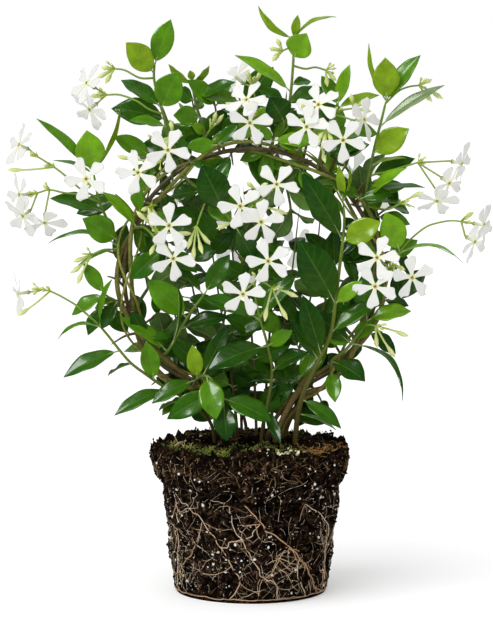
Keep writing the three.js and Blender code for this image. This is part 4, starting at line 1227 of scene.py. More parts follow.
@dataclass
class LeafyShoot:
    """A side shoot: its stem, its leaves bent clear as its solid's are, its flower stalks and its buds."""

    name: str
    plan: Shoot
    rng: Random
    skin: Skin = field(default_factory=Skin)
    end: float = 0.8
    stalk: float = 0.62
    start_in_soil: float = 40.0
    leaf_bow: float = 0.07
    bracts_per_fork: int = 8
    tight_buds: int = 4
    farthest: float = 160.0
    stem_sides: int = 8
    rings_per_span: int = 7
    pairing: PairRule = PairRule()

    def path(self) -> list[Vector]:
        """Runs from the shoot's hole in the soil or the middle of its vine.

        Returns:
            The points of the stem's middle.
        """
        points = [Vector(p) for p in self.plan.path]
        if self.plan.hole:
            x, y = self.plan.hole
            return [Vector((x, y, SOIL_LEVEL - self.start_in_soil)), Vector((x, y, SOIL_LEVEL + 6)), *points]
        return [VINES[self.plan.vine].at(self.plan.at), *points]

    def solid_corners(self) -> kdtree.KDTree:
        """Reads the corners of the shoot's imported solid.

        Returns:
            The corners, ready to be searched.
        """
        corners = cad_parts[f"shoot_{self.name}"].data.vertices
        tree = kdtree.KDTree(len(corners))
        for corner in corners:
            tree.insert(corner.co / MM, corner.index)
        tree.balance()
        return tree

    def leaves(self) -> Iterator[Leaf]:
        """Finds where each leaf's tip came to rest among its possible bends.

        Yields:
            Each leaf.
        """
        corners = self.solid_corners()
        path = self.path()
        for place, tip, width, face, tone, *bow in [*self.plan.leaves, *self.pairing.leaves(path, self.plan)]:
            bends = [Vector((tip[0], tip[1] + back, tip[2] + up)) for back, up in BENDS]
            rest = min(bends, key=lambda bent: round(corners.find(bent)[2], 1))
            facing = Vector(face.value if isinstance(face, Face) else face)
            yield Leaf(on_curve(path, place), rest, width, facing, bow[0] if bow else self.leaf_bow, tone,
                       self.rng.random())

    def build(self, finishes: list[Material]) -> Piece:
        """Grows the shoot and dresses it.

        Args:
            finishes: upper leaf, leaf underside, stem and bud.

        Returns:
            The piece.
        """
        lay_leaves(self.skin, list(self.leaves()))
        self.stems()
        return self.skin.done(f"leafy_shoot_{self.name}", finishes, "foliage", [f"shoot_{self.name}"])

    def stems(self) -> None:
        """Adds the stem, the flower stalks and the buds."""
        skin, path = self.skin, self.path()
        woody = linear("#523d20" if self.plan.hole else "#55642a")
        skin.tube(path, lambda t: (self.plan.base + (self.end - self.plan.base) * t)
                  * (0.5 + 0.5 * smooth(0.0, 0.08, t)) * (1 - 0.6 * smooth(0.94, 1.0, t)), self.stem_sides,
                  self.rings_per_span * (len(path) - 1), Part.STEM, (woody, GREEN_STALK))
        for spray in self.plan.sprays:
            points = [on_curve(path, spray.at), *[Vector(p) for p in spray.path]]
            skin.tube(points, lambda t: self.stalk + 0.12 * (1 - t), 6, 5 * (len(points) - 1),
                      Part.STEM, (GREEN_STALK, PALE_STALK))
            for start, tip in spray.buds:
                Bud(points[start + 1], Vector(tip)).build(skin)
            for start, _, centre, facing in spray.blooms:
                foot = Vector(centre) - Vector(facing).normalized() * (Bloom.tube + CLEARANCE)
                skin.tube([points[start + 1], foot], lambda t: self.stalk, 6, 5, Part.STEM,
                          (PALE_STALK, TUBE_FOOT))
            self.bracts(points, {start + 1 for start, *_ in [*spray.buds, *spray.blooms]})

    def bracts(self, points: list[Vector], forks: set[int]) -> None:
        """Adds the small scales and the tight green buds where a flower stalk forks.

        Args:
            points: the stalk's points.
            forks: the numbers of the points where it forks.
        """
        skin, rng = self.skin, self.rng
        for fork in sorted(forks):
            foot = points[fork]
            ahead = (foot - points[fork - 1]).normalized()
            grow_bracts(skin, foot, ahead, self.bracts_per_fork, rng)
            for _ in range(self.tight_buds):
                tip = foot + fanned(ahead, rng) * rng.uniform(5.5, 8.5)
                tip.x = min(max(tip.x, -self.farthest), self.farthest)
                green = blended(*BRACT_TONES, rng.random())
                skin.tube([foot, foot.lerp(tip, 0.6), tip], lambda t: 0.3 + 0.62 * smooth(0.3, 0.72, t)
                          - 0.86 * smooth(0.72, 1.0, t), 6, 8, Part.BUD, (green, linear("#dfe3a0")))


# --- inner foliage


# where daylight shows through the foliage, seen from the front: place across, height and radius
GAPS = ((-12, 281, 5), (31, 245, 8), (31, 213, 7), (-25, 202, 4), (-37, 214, 4), (-74, 208, 6), (71, 283, 6),
        (47, 203, 5), (-84, 259, 5), (-45, 325, 4), (-38, 176, 5), (5, 169, 3), (-85, 275, 5), (-98, 243, 6),
        (-100, 228, 6), (-97, 215, 6), (-103, 205, 6), (-95, 165, 6), (-85, 154, 6), (-75, 160, 6),
        (-70, 143, 5), (-58, 130, 5), (79, 150, 6), (61, 134, 4), (101, 183, 6), (106, 231, 6), (31, 155, 3),
        (-59, 181, 4))


@dataclass(frozen=True)
class InnerTwig:
    """A leafy twig behind the flowers: its points, its pairs of leaves, their length and first turn."""

    path: list[Point]
    pairs: int
    length: float
    turn: float = 0.0


INNER_TWIGS = [InnerTwig(*row) for row in (
    ([(-8, 6, 96), (-14, 10, 150), (-22, 13, 200), (-31, 14, 262)], 8, 37, 20),
    ([(4, 7, 96), (2, 12, 150), (-2, 16, 205), (-5, 17, 272)], 8, 38, 55),
    ([(12, 8, 96), (18, 13, 150), (26, 16, 200), (33, 17, 260)], 8, 38, 10),
    ([(16, 6, 96), (34, 11, 140), (48, 14, 185), (57, 15, 235)], 7, 36, 70),
    ([(-14, 6, 96), (-34, 11, 138), (-50, 14, 180), (-61, 15, 230)], 7, 36, 35),
    ([(-6, 12, 96), (-8, 23, 160), (-12, 27, 220), (-17, 27, 285)], 8, 37, 80),
    ([(8, 12, 96), (12, 24, 160), (16, 28, 220), (21, 27, 285)], 8, 37, 30),
    ([(-12, 10, 96), (-26, 19, 150), (-40, 23, 205), (-46, 24, 262)], 7, 36, 60),
    ([(16, 10, 96), (30, 19, 150), (42, 23, 205), (48, 24, 262)], 7, 36, 45),
    ([(-45, 7, 285), (-52, 12, 305), (-60, 15, 327)], 2, 32, 15),
    ([(-30, 7, 291), (-36, 13, 312), (-40, 16, 333)], 2, 32, 75),
    ([(-18, 7, 296), (-22, 12, 315), (-26, 15, 336)], 2, 32, 60),
    ([(0, 7, 298), (-4, 12, 318), (-10, 15, 338)], 2, 32, 40),
    ([(18, 7, 296), (22, 12, 316), (24, 15, 336)], 2, 32, 10),
    ([(35, 7, 291), (40, 12, 312), (44, 15, 334)], 2, 32, 75),
    ([(52, 7, 280), (60, 12, 300), (68, 15, 318)], 2, 32, 35),
)]


@dataclass(frozen=True)
class FillingLeaf:
    """A leaf that closes a hole in the foliage, on a stalk from the nearest twig."""

    base: Point
    tip: Point
    width: float
    tone: Tone
    bow: float = 0.08
    wave: float = 0.37


FILLING_LEAVES = [FillingLeaf(*row) for row in (
    ((13, 12, 266), (-3, 14, 296), 12, DARK),
    ((8, 13, 270), (12, 11, 298), 11, MID),
    ((-41, 13, 221), (-21, 12, 231), 13, DARK),
    ((-47, 14, 203), (-24, 12, 213), 8, DEEP),
    ((-44, 13, 197), (-20, 11, 189), 11, DARK),
    ((57, 14, 216), (56, 13, 244), 12, DEEP),
    ((71, 9, 205), (62, 10, 228), 9, DARK),
    ((-72, 9, 224), (-76, 8, 250), 8, MID),
    ((80, 9, 279), (110, 7, 291), 12, DARK),
    ((80, 9, 270), (104, 7, 272), 10, MID),
    ((-66, 8, 292), (-92, 6, 306), 12, MID),
    ((-12, 13, 166), (4, 11, 178), 9, DARK),
    ((-22, 13, 232), (-36, 12, 257), 13, DARK),
    ((-13, 13, 196), (-26, 12, 216), 10, MID),
    ((31, 14, 177), (18, 12, 197), 12, DARK),
)]


# places round the hoop, 0 at the bottom and 90 at the left, where a twig crosses in front of it
FRONT_TWIGS = (58, 78, 118, 150, 166, 188, 202, 236, 262, 284, 304)


@dataclass(frozen=True)
class InnerFoliage:
    """The dense dark leaves inside, on and behind the hoop, in opposite pairs on thin twigs."""

    rng: Random
    start: float = 0.08
    span: float = 0.9
    spread: float = 0.8
    ahead: float = 0.42
    width: float = 0.49
    jitter: float = 0.22
    front_most: float = 3.0
    before_hoop: float = -13.0
    twig: float = 0.9
    outward_twigs: int = 26
    inward_twigs: int = 16
    rear_from: float = 20.0
    high_from: float = 255.0
    # leaves below high_from take darker tones than those above it: partly painted shade, darker where the
    # foliage is deep
    low_tones: tuple[Tone, ...] = (DEEP, DEEP, DARK, DARK, MID)
    high_tones: tuple[Tone, ...] = (DARK, DARK, MID, MID, BRIGHT)
    first_turn: float = 26.0
    flatness: float = 0.55
    stray: float = 6.0
    stalk_spots: int = 40
    leaf_cells: tuple[int, int] = (6, 12)

    def hoop_twigs(self, count: int, inward: bool) -> Iterator[InnerTwig]:
        """Sets short twigs round the hoop.

        Args:
            count: how many.
            inward: whether they grow into the hoop and not out of it.

        Yields:
            Each twig.
        """
        rng = self.rng
        for k in range(count):
            degrees = self.first_turn + (360 - 2 * self.first_turn) * k / (count - 1) + rng.uniform(-4, 4)
            foot = HOOP.beside(degrees, 4, math.pi / 2)
            away = HOOP.away(degrees)
            reach = -rng.uniform(8, 20) if inward else rng.uniform(10, 25)
            tip = foot + away * reach + Vector((0, rng.uniform(3, 12), rng.uniform(0, 10)))
            middle = foot.lerp(tip, 0.5) + Vector((0, 1.5, 1.5))
            yield InnerTwig([foot, middle, tip], 2, rng.uniform(24, 31), rng.uniform(0, 90))

    def front_twigs(self) -> Iterator[InnerTwig]:
        """Sets a few short twigs before the hoop, whose leaves cross it.

        Yields:
            Each twig.
        """
        rng = self.rng
        for degrees in FRONT_TWIGS:
            foot = HOOP.beside(degrees, 4, -math.pi / 2)
            away = HOOP.away(degrees)
            tip = foot + away * rng.uniform(-9, 9) + Vector((rng.uniform(-4, 4), -4, rng.uniform(4, 9)))
            yield InnerTwig([foot, foot.lerp(tip, 0.5) + Vector((0, -1, 0)), tip], 1, rng.uniform(21, 27), 90)

    def leaves(self, twig: InnerTwig, front_most: float) -> Iterator[Leaf]:
        """Sets a twig's leaves in opposite pairs, and leaves the gaps open.

        Args:
            twig: the twig.
            front_most: how far forward a tip may come.

        Yields:
            Each leaf.
        """
        rng = self.rng
        path = [Vector(p) for p in twig.path]
        for k in range(twig.pairs):
            t = self.start + self.span * (k + 0.5) / twig.pairs
            base, ahead, out, across = stem_axes(path, t)
            angle = math.radians(twig.turn + 90 * k + rng.uniform(-20, 20))
            for side in (-1, 1):
                reach = twig.length * rng.uniform(1 - self.jitter, 1 + self.jitter)
                spread = side * reach * self.spread
                # a leaf that would stand towards the flowers lies flatter beside the stem
                tip = (base + out * (self.flatness * spread * math.cos(angle))
                       + across * (spread * math.sin(angle))
                       + ahead * (reach * self.ahead * rng.uniform(0.4, 1.4)))
                tip.x += rng.uniform(-self.stray, self.stray)
                tip.y = max(tip.y, front_most)
                tone = rng.choice(self.high_tones if base.z > self.high_from else self.low_tones)
                outwards = 0.6 if base.y > self.rear_from else -0.9
                face = Vector((rng.uniform(-0.6, 0.6), outwards, rng.uniform(0.0, 1.0)))
                leaf = Leaf(base, tip, (tip - base).length * self.width, face, rng.uniform(0.02, 0.12), tone,
                            rng.random(), *self.leaf_cells)
                if not self.hides_gap(leaf):
                    yield leaf

    def filling_leaf(self, plan: FillingLeaf) -> tuple[InnerTwig, Leaf]:
        """Sets a leaf that closes a hole.

        Args:
            plan: where it lies.

        Returns:
            Its stalk, from the nearest twig, and the leaf.
        """
        base, tip = Vector(plan.base), Vector(plan.tip)
        spots = [on_curve([Vector(p) for p in twig.path], k / self.stalk_spots)
                 for twig in INNER_TWIGS for k in range(self.stalk_spots + 1)]
        foot = min([*spots, *HOOP.path()], key=lambda spot: (spot - base).length)
        face = Vector((0.25 * math.sin(tip.z), -0.9, 0.45))
        leaf = Leaf(base, tip, plan.width, face, plan.bow, plan.tone, plan.wave, *self.leaf_cells)
        return InnerTwig([foot, foot.lerp(base, 0.5) + Vector((0, 0, 1.5)), base], 0, 0.0), leaf

    def hides_gap(self, leaf: Leaf) -> bool:
        """Tells whether a leaf would cover one of the gaps, seen from the front.

        Args:
            leaf: the leaf.

        Returns:
            Whether it would.
        """
        for share in (0.3, 0.5, 0.7):
            spot = leaf.base.lerp(leaf.tip, share)
            if any(math.hypot(spot.x - x, spot.z - z) < radius + leaf.width * 0.35 for x, z, radius in GAPS):
                return True
        return False

    def build(self, finishes: list[Material]) -> list[Piece]:
        """Grows the twigs and their leaves.

        Args:
            finishes: upper leaf, leaf underside and stem.

        Returns:
            The foliage inside the hoop, and that on it.
        """
        on_hoop = [*self.hoop_twigs(self.outward_twigs, False), *self.hoop_twigs(self.inward_twigs, True)]
        pieces = []
        for name, twigs, front_most in (("inner_foliage", INNER_TWIGS, self.front_most),
                                        ("hoop_foliage", on_hoop, self.front_most),
                                        ("front_foliage", list(self.front_twigs()), self.before_hoop)):
            skin = Skin()
            leaves = [leaf for twig in twigs for leaf in self.leaves(twig, front_most)]
            if name == "inner_foliage":
                stalks, filling = zip(*[self.filling_leaf(plan) for plan in FILLING_LEAVES])
                twigs, leaves = [*twigs, *stalks], [*leaves, *filling]
            lay_leaves(skin, leaves)
            for twig in twigs:
                path = [Vector(p) for p in twig.path]
                skin.tube(path, lambda t: self.twig * (1.2 - 0.7 * t) * pointed(t), 6, 6 * (len(path) - 1),
                          Part.STEM, (linear("#5d4a30"), linear("#5f6e33")))
            pieces.append(skin.done(name, finishes, "foliage", []))
        return pieces


# --- root ball


SOIL_WALL = ((50.4, 0), (51.8, 4), (53.8, 21), (55.7, 39), (57.6, 57), (59.4, 74), (64.2, 77.5), (65.6, 86),
             (65.2, 95), (64.4, 99))


def around(degrees: float, radius: float, height: float) -> Vector:
    """Finds a point on a turned circle; turn 0 faces the front and 90 the right."""
    angle = math.radians(degrees)
    return Vector((radius * math.sin(angle), -radius * math.cos(angle), height))


def outward(spot: Vector) -> Vector:
    """Finds the level way straight out from the ball's axis at a spot."""
    return Vector((spot.x, spot.y, 0)).normalized()


@dataclass(frozen=True)
class SoilPlug:
    """The plug of dark potting soil: a tapering crumbly wall, a ragged rim and a low mound on top."""

    sides: int = 376
    wall_rows: int = 148
    top_rows: int = 58
    foot_rows: int = 4
    lump: float = 1.5
    grain: float = 0.55
    mound: float = 5.0
    smooth_foot: float = 6.0
    crumb_depth: float = 1.8
    crumb_size: float = 4.0
    grit_depth: float = 0.5
    grit_size: float = 1.2
    rim_crumbs: float = 4.2
    step_depth: float = 2.4

    def relief(self, degrees: float, height: float) -> float:
        """Gives how far the wall's lumps stand out, nothing at the flat foot.

        Args:
            degrees: the turn round the ball.
            height: the height on the wall.

        Returns:
            The distance.
        """
        a = math.radians(degrees)
        lumps = (math.sin(3 * a + 0.06 * height) + math.sin(5 * a - 0.11 * height + 1)
                 + math.sin(0.19 * height + 2 * a))
        grain = math.sin(13 * a + 0.5 * height) * math.cos(9 * a - 0.37 * height)
        return min(1.0, height / self.smooth_foot) * (self.lump * lumps / 3 + self.grain * grain)

    def wall_radius(self, degrees: float, height: float) -> float:
        """Gives the wall's radius before its crumbs, the step below the rim at an uneven height.

        Args:
            degrees: the turn round the ball.
            height: the height on the wall.

        Returns:
            The radius.
        """
        step = smooth(56, 70, height) * (1 - smooth(84, 95, height)) * self.step_depth
        height = min(height + step * noise.fractal(around(degrees, 2.6, 3), 0.8, 2.1, 3), SOIL_WALL[-1][1])
        for (low_radius, low), (high_radius, high) in zip(SOIL_WALL, SOIL_WALL[1:]):
            if height <= high:
                share = (height - low) / (high - low)
                return low_radius + (high_radius - low_radius) * share + self.relief(degrees, height)
        return SOIL_WALL[-1][0]

    def top_height(self, x: float, y: float) -> float:
        """Gives the height of the soil's top, crumbs included.

        Args:
            x: the place from left to right.
            y: the place from front to back.

        Returns:
            The height.
        """
        share = min(1.0, math.hypot(x, y) / SOIL_WALL[-1][0])
        lumps = noise.fractal(Vector((x, y, 9.0)) / 13, 0.8, 2.1, 4) * 3.0
        crumbs = (0.6 - noise.voronoi(Vector((x, y, 40.0)) / self.crumb_size)[0][0]) * 2.2 * self.crumb_depth
        return SOIL_LEVEL - 1 + self.mound * (1 - share) ** 2 + (lumps + crumbs) * (1 - 0.35 * share)

    def crumble(self, spot: Vector) -> float:
        """Gives how far crumbs and grit stand out of the wall at a spot.

        Args:
            spot: the spot.

        Returns:
            The distance.
        """
        coarse = 0.55 - noise.voronoi(spot / self.crumb_size)[0][0]
        medium = 0.5 - noise.voronoi(spot / (0.45 * self.crumb_size))[0][0]
        clods = noise.noise(spot / 11) * 1.2
        grit = noise.noise(spot / self.grit_size) * self.grit_depth
        return ((coarse + 0.5 * medium) * self.crumb_depth + clods + grit) * smooth(0.5, 5, spot.z)

    def shade(self, spot: Vector) -> Colour:
        """Gives a spot's painted shade and light: black in the clefts between crumbs and lighter on their
        crowns.

        Args:
            spot: the spot.

        Returns:
            The painted shade and light, a grey.
        """
        on_top = spot.z > SOIL_LEVEL - 6 and math.hypot(spot.x, spot.y) < 61
        near = Vector((spot.x, spot.y, 40.0)) if on_top else spot
        crown = 0.62 - noise.voronoi(near / self.crumb_size)[0][0]
        small = 0.5 - noise.voronoi(near / (0.45 * self.crumb_size))[0][0]
        level = 0.06 + 2.1 * smooth(-0.3, 0.7, crown + 0.5 * small) ** 1.5
        return (level, level, level, 1.0)

    def ragged(self, spot: Vector) -> float:
        """Gives how far the torn rim stands up at a spot."""
        return noise.fractal(Vector((spot.x, spot.y, 70.0)) / 4.5, 0.5, 2.0, 4) * self.rim_crumbs

    def build(self, finish: Material) -> Piece:
        """Shapes the plug as one closed skin.

        Args:
            finish: the soil.

        Returns:
            The piece.
        """
        rows = self.foot_rows + self.wall_rows + self.top_rows

        def place(u: float, v: float) -> Vector:
            """Runs from the middle of the foot out, up the wall and in over the top.

            Args:
                u: the share round the ball.
                v: the share of the rows.

            Returns:
                The corner's point.
            """
            row = round(v * rows)
            degrees = 360 * (u if u < 1 - 0.5 / self.sides else 0.0)
            if row <= self.foot_rows:
                return around(degrees, SOIL_WALL[0][0] * row / self.foot_rows, 0)
            rim_height = SOIL_WALL[-1][1]
            if row <= self.foot_rows + self.wall_rows:
                height = rim_height * (row - self.foot_rows) / self.wall_rows
                spot = around(degrees, self.wall_radius(degrees, height), height)
                spot.z += self.ragged(spot) * smooth(84, rim_height, height)
                return spot + outward(spot) * self.crumble(spot)
            share = 1 - (row - self.foot_rows - self.wall_rows) / self.top_rows
            spot = around(degrees, SOIL_WALL[-1][0] * share, 0)
            spot.z = self.top_height(spot.x, spot.y) + self.ragged(spot) * smooth(0.8, 1.0, share)
            return spot

        skin = Skin()
        # painted shade in the clefts between crumbs and painted light on their crowns, held in each corner's
        # tint
        for corner in skin.cloth(self.sides, rows, place):
            corner[skin.tint] = self.shade(corner.co)
        return skin.done("soil_plug", [finish], "soil", ["root_ball"])


SOIL = SoilPlug()


class Litter(IntEnum):
    """What lies loose in and on the soil, in the order of the materials' numbers."""

    CRUMB = 0
    PERLITE = 1
    FIBRE = 2


# where moss and peat-moss strands lie on the top: the middle and spread of each patch
MOSS_PATCHES = (((-30, -44), 5), ((-42, -32), 5), ((-20, -52), 4), ((30, -40), 6), ((-50, -12), 6),
                ((-20, 44), 12), ((34, 36), 12), ((-14, -30), 8), ((12, -26), 7))
STRAND_PATCHES = (((46, -36), 6), ((54, -24), 5), ((40, -44), 4), ((50, -30), 5), ((0, 30), 26))


@dataclass(frozen=True)
class SoilLitter:
    """Crumbs of soil, white perlite, moss, peat-moss strands and dried grass."""

    rng: Random
    skin: Skin = field(default_factory=Skin)
    crumbs: int = 2600
    perlite: int = 820
    top_perlite: int = 60
    stained_perlite: int = 26
    chips: int = 90
    moss_tufts: int = 1500
    strands: int = 110
    fibres: int = 1250
    rim_share: float = 0.3
    top_reach: float = 62
    patch_reach: float = 61
    grass: int = 14
    crumb_levels: tuple[float, ...] = (0.3, 0.5, 0.8, 1.2, 1.8, 2.6)
    rim_levels: tuple[float, ...] = (0.3, 0.5, 0.8, 1.4, 2.2, 3.6)
    grain_sizes: tuple[float, ...] = (0.3, 0.35, 0.35, 0.4, 0.45, 0.5, 0.6, 0.8, 1.0, 1.4)

    def on_wall(self, low: float, high: float) -> Vector:
        """Picks a spot on the wall between two heights.

        Args:
            low: the lower height.
            high: the upper height.

        Returns:
            The spot.
        """
        degrees, height = self.rng.uniform(0, 360), self.rng.uniform(low, high)
        spot = around(degrees, SOIL.wall_radius(degrees, height), height)
        return spot + outward(spot) * SOIL.crumble(spot)

    def on_top(self, middle: tuple[float, float] | None = None, spread: float = 0.0) -> Vector:
        """Picks a spot on the top, anywhere or near a middle.

        Args:
            middle: the patch's middle, or none for anywhere.
            spread: how far it spreads.

        Returns:
            The spot.
        """
        rng = self.rng
        if middle is None:
            degrees = rng.uniform(0, 360)
            spot = around(degrees, self.top_reach * math.sqrt(rng.random()), 0)
        else:
            spot = Vector((middle[0] + rng.gauss(0, spread), middle[1] + rng.gauss(0, spread), 0))
            if spot.length > self.patch_reach:
                spot *= self.patch_reach / spot.length
        spot.z = SOIL.top_height(spot.x, spot.y)
        return spot

    def build(self, finishes: list[Material]) -> Piece:
        """Scatters everything.

        Args:
            finishes: soil, perlite and fibre.

        Returns:
            The piece.
        """
        for scatter in (self.scatter_crumbs, self.scatter_perlite, self.grow_moss, self.lay_strands,
                        self.stand_grass, self.press_fibres):
            scatter()
        return self.skin.done("soil_litter", finishes, "soil", [])

    def scatter_crumbs(self) -> None:
        """Scatters crumbs on the wall, thickest at the rim, and chips of bark on the top."""
        skin, rng = self.skin, self.rng
        for k in range(self.crumbs):
            if k % 3 == 0:
                spot = self.on_wall(88, 99)
                spot.z += SOIL.ragged(spot) + rng.uniform(-0.5, 1.6)
            else:
                spot = self.on_wall(4, 96) if k % 3 == 1 else self.on_top()
            size = rng.uniform(0.5, 1.5) if k % 5 else rng.uniform(1.4, 2.3)
            level = rng.choice(self.rim_levels if k % 3 == 0 else self.crumb_levels)
            skin.crumb(spot, Vector((size, size * rng.uniform(0.6, 1), size * rng.uniform(0.5, 0.9))), rng,
                       Litter.CRUMB, (level, level, level, 1.0))
        for _ in range(self.chips):
            spot = self.on_top()
            brown = blended(linear("#33231a"), linear("#7a5732"), rng.random() ** 2)
            skin.crumb(spot, Vector((rng.uniform(1.5, 3.6), rng.uniform(0.6, 1.2), 0.5)), rng,
                       Litter.FIBRE, brown)

    def scatter_perlite(self) -> None:
        """Presses white grains into the wall and drops some on the top."""
        skin, rng = self.skin, self.rng
        for k in range(self.perlite + self.top_perlite):
            spot = self.on_wall(5, 94) if k < self.perlite else self.on_top()
            size = rng.choice(self.grain_sizes)
            tone = blended(linear("#f4f2ec"), linear("#cbb98c"), rng.random() ** 2)
            skin.crumb(spot, Vector((size, size * rng.uniform(0.7, 1), size * rng.uniform(0.7, 1))), rng,
                       Litter.PERLITE, tone, 0.35)
        for _ in range(self.stained_perlite):
            spot = self.on_top((24, -50), 7)
            size = rng.uniform(0.9, 1.9)
            tone = blended(linear("#f1efc9"), linear("#c9c27a"), rng.random())
            skin.crumb(spot + Vector((0, 0, 0.6)), Vector((size, size, size * 0.8)), rng,
                       Litter.PERLITE, tone, 0.35)

    def grow_moss(self) -> None:
        """Grows small tufts of moss in a few patches near the rim."""
        skin, rng = self.skin, self.rng
        for k in range(self.moss_tufts):
            foot = self.on_top(*MOSS_PATCHES[k % len(MOSS_PATCHES)])
            lush = noise.noise(foot / 5)
            if lush < -0.1:
                continue
            tip = foot + Vector((rng.gauss(0, 0.9), rng.gauss(0, 0.9),
                                 rng.uniform(0.6, 1.6) + 2 * max(0.0, lush)))
            green = blended(linear("#2f440d"), linear("#96a546"), rng.random() ** 1.2)
            skin.tube([foot, tip], lambda t: 0.62 - 0.5 * t, 3, 1, Litter.FIBRE, (green, green))

    def lay_strands(self) -> None:
        """Lays curled orange-brown strands of peat moss, most of them at the right of the rim."""
        skin, rng = self.skin, self.rng
        for k in range(self.strands):
            spot = self.on_top(*STRAND_PATCHES[k % len(STRAND_PATCHES)])
            heading = rng.uniform(0, math.tau)
            points = [spot]
            for _ in range(4):
                heading += rng.gauss(0, 0.9)
                step = Vector((math.cos(heading), math.sin(heading), rng.gauss(0.1, 0.5)))
                spot = spot + step * rng.uniform(1.2, 2.6)
                points.append(spot)
            brown = blended(linear("#6f4a22"), linear("#b88f50"), rng.random())
            skin.tube(points, lambda t: 0.3 - 0.14 * t, 4, 8, Litter.FIBRE, (brown, brown))

    def stand_grass(self) -> None:
        """Stands a few blades of dried grass at the left of the rim and a few beside the stems."""
        skin, rng = self.skin, self.rng
        for k in range(self.grass):
            foot = self.on_top((-50, -22) if k % 3 else (18, 6), 6)
            lean = Vector((rng.gauss(-0.2, 0.6), rng.gauss(-0.1, 0.6), rng.uniform(0.3, 1.0)))
            lean *= rng.uniform(5, 11)
            points = [foot, foot + lean * 0.5 + Vector((0, 0, 1.2)), foot + lean]
            straw = blended(linear("#b79c62"), linear("#e0cf9c"), rng.random())
            skin.tube(points, lambda t: 0.36 - 0.28 * t, 4, 6, Litter.FIBRE, (straw, straw))

    def press_fibres(self) -> None:
        """Presses short brown fibres of peat into the wall, every way round."""
        skin, rng = self.skin, self.rng
        for _ in range(self.fibres):
            degrees = rng.uniform(0, 360)
            at_rim = rng.random() < self.rim_share
            height = rng.uniform(82, 99) if at_rim else rng.uniform(6, 97)
            slant = rng.uniform(-1.4, 1.4)
            reach = rng.uniform(1.6, 4.2)
            points = []
            for step in (-1, 0, 1):
                turn = degrees + math.degrees(step * reach * math.sin(slant) / SOIL_WALL[3][0])
                level = min(max(height + step * reach * math.cos(slant), 3.0), 98.0)
                spot = around(turn, SOIL.wall_radius(turn, level), level)
                points.append(spot + outward(spot) * (max(0.0, SOIL.crumble(spot)) + 0.1))
            dark, light = ("#43321f", "#b09668") if at_rim else ("#2b1d14", "#7c6347")
            brown = blended(linear(dark), linear(light), rng.random() ** 1.5)
            skin.tube(points, lambda t: 0.26 - 0.12 * t, 3, 3, Litter.FIBRE, (brown, brown))


@dataclass(frozen=True)
class RootNet:
    """The net of roots pressed against the pot's wall: main roots, their branches and fine hairs."""

    rng: Random
    thick: float = 0.62
    ring_thick: float = 0.36
    branches: int = 70
    hairs: int = 360
    threads: int = 420

    def lie(self, degrees: float, height: float, lift: float) -> Vector:
        """Lays a point of a root on the wall."""
        spot = around(degrees, SOIL.wall_radius(degrees, height), height)
        return spot + outward(spot) * (max(0.0, SOIL.crumble(spot)) * 0.7 + lift)

    def main_root(self, route: list[tuple[float, float]], thick: float) -> list[Vector]:
        """Follows a route with the small crooks of a root.

        Args:
            route: its turns and heights.
            thick: its radius.

        Returns:
            Its points.
        """
        bare = [Vector((turn, height, 0)) for turn, height in route]
        steps = 3 * (len(route) - 1)
        points = []
        for k in range(steps + 1):
            spot = on_curve(bare, k / steps)
            crook = 0.0 if k in (0, steps) else 0.6
            turn = spot.x + self.rng.gauss(0, crook)
            points.append(self.lie(turn, max(2.0, spot.y + self.rng.gauss(0, crook * 0.8)), thick * 0.55))
        return points

    def wander(self, degrees: float, height: float, heading: float, steps: int, lift: float) -> list[Vector]:
        """Lets a thin root find its way over the wall.

        Args:
            degrees: the turn where it starts.
            height: the height where it starts.
            heading: its first direction, 0 straight down and positive to the right.
            steps: how many steps it takes.
            lift: how far its middle lies off the wall.

        Returns:
            Its points.
        """
        points = []
        for _ in range(steps + 1):
            points.append(self.lie(degrees, height, lift))
            heading += self.rng.gauss(0, 0.3) - 0.04 * heading
            stride = self.rng.uniform(2.0, 3.6)
            degrees += math.degrees(stride * math.sin(heading) / SOIL_WALL[3][0])
            height = min(max(height - stride * math.cos(heading), 2.2), 92.0)
        return points

    def build(self, finish: Material) -> list[Piece]:
        """Grows the net.

        Args:
            finish: the roots' skin.

        Returns:
            The main roots and the fine ones.
        """
        rng = self.rng
        brown, tan, cream = linear("#9a7352"), linear("#cba882"), linear("#ecdcc2")
        mains = Skin()
        for number, route in enumerate(ROOTS):
            thick = self.ring_thick if number == 0 else self.thick * (1.0 if number == 1 else 0.66)
            points = self.main_root(route, thick)
            light = 0.0 if number == 1 else rng.uniform(0.3, 0.9)
            mains.tube(points, lambda t: thick * (1 - 0.5 * t), 7, 3 * len(points), 0,
                       (blended(brown, tan, light), blended(tan, cream, light)))
        for _ in range(self.branches):
            route = rng.choice(ROOTS[1:])
            turn, height = rng.choice(route)
            heading = rng.choice((-1, 1)) * rng.uniform(0.4, 1.5)
            points = self.wander(turn + rng.uniform(-4, 4), height, heading, rng.randint(4, 10), 0.22)
            thick = rng.uniform(0.18, 0.34)
            mains.tube(points, lambda t: thick * (1 - 0.6 * t), 5, 2 * len(points), 0,
                       (blended(brown, tan, rng.random()), blended(tan, cream, rng.random())))
        fine = Skin()
        for number in range(self.hairs + self.threads):
            degrees = rng.uniform(0, 360)
            # the net is thinner in front and behind than at the sides
            if number < self.hairs and rng.random() > 0.4 + 0.6 * math.sin(math.radians(degrees)) ** 2:
                continue
            steps = rng.randint(4, 12) if number < self.hairs else rng.randint(1, 2)
            height = rng.uniform(6, 90 if number % 3 else 55)
            points = self.wander(degrees, height, rng.gauss(0, 0.9), steps, 0.12)
            thick = rng.uniform(0.09, 0.18)
            pale = blended(tan, cream, rng.random())
            fine.tube(points, lambda t: thick * (1 - 0.5 * t), 3, 2 * len(points), 0, (pale, cream))
        return [mains.done("main_roots", [finish], "root", ["surface_roots"]),
                fine.done("fine_roots", [finish], "root", [])]


# --- finishes


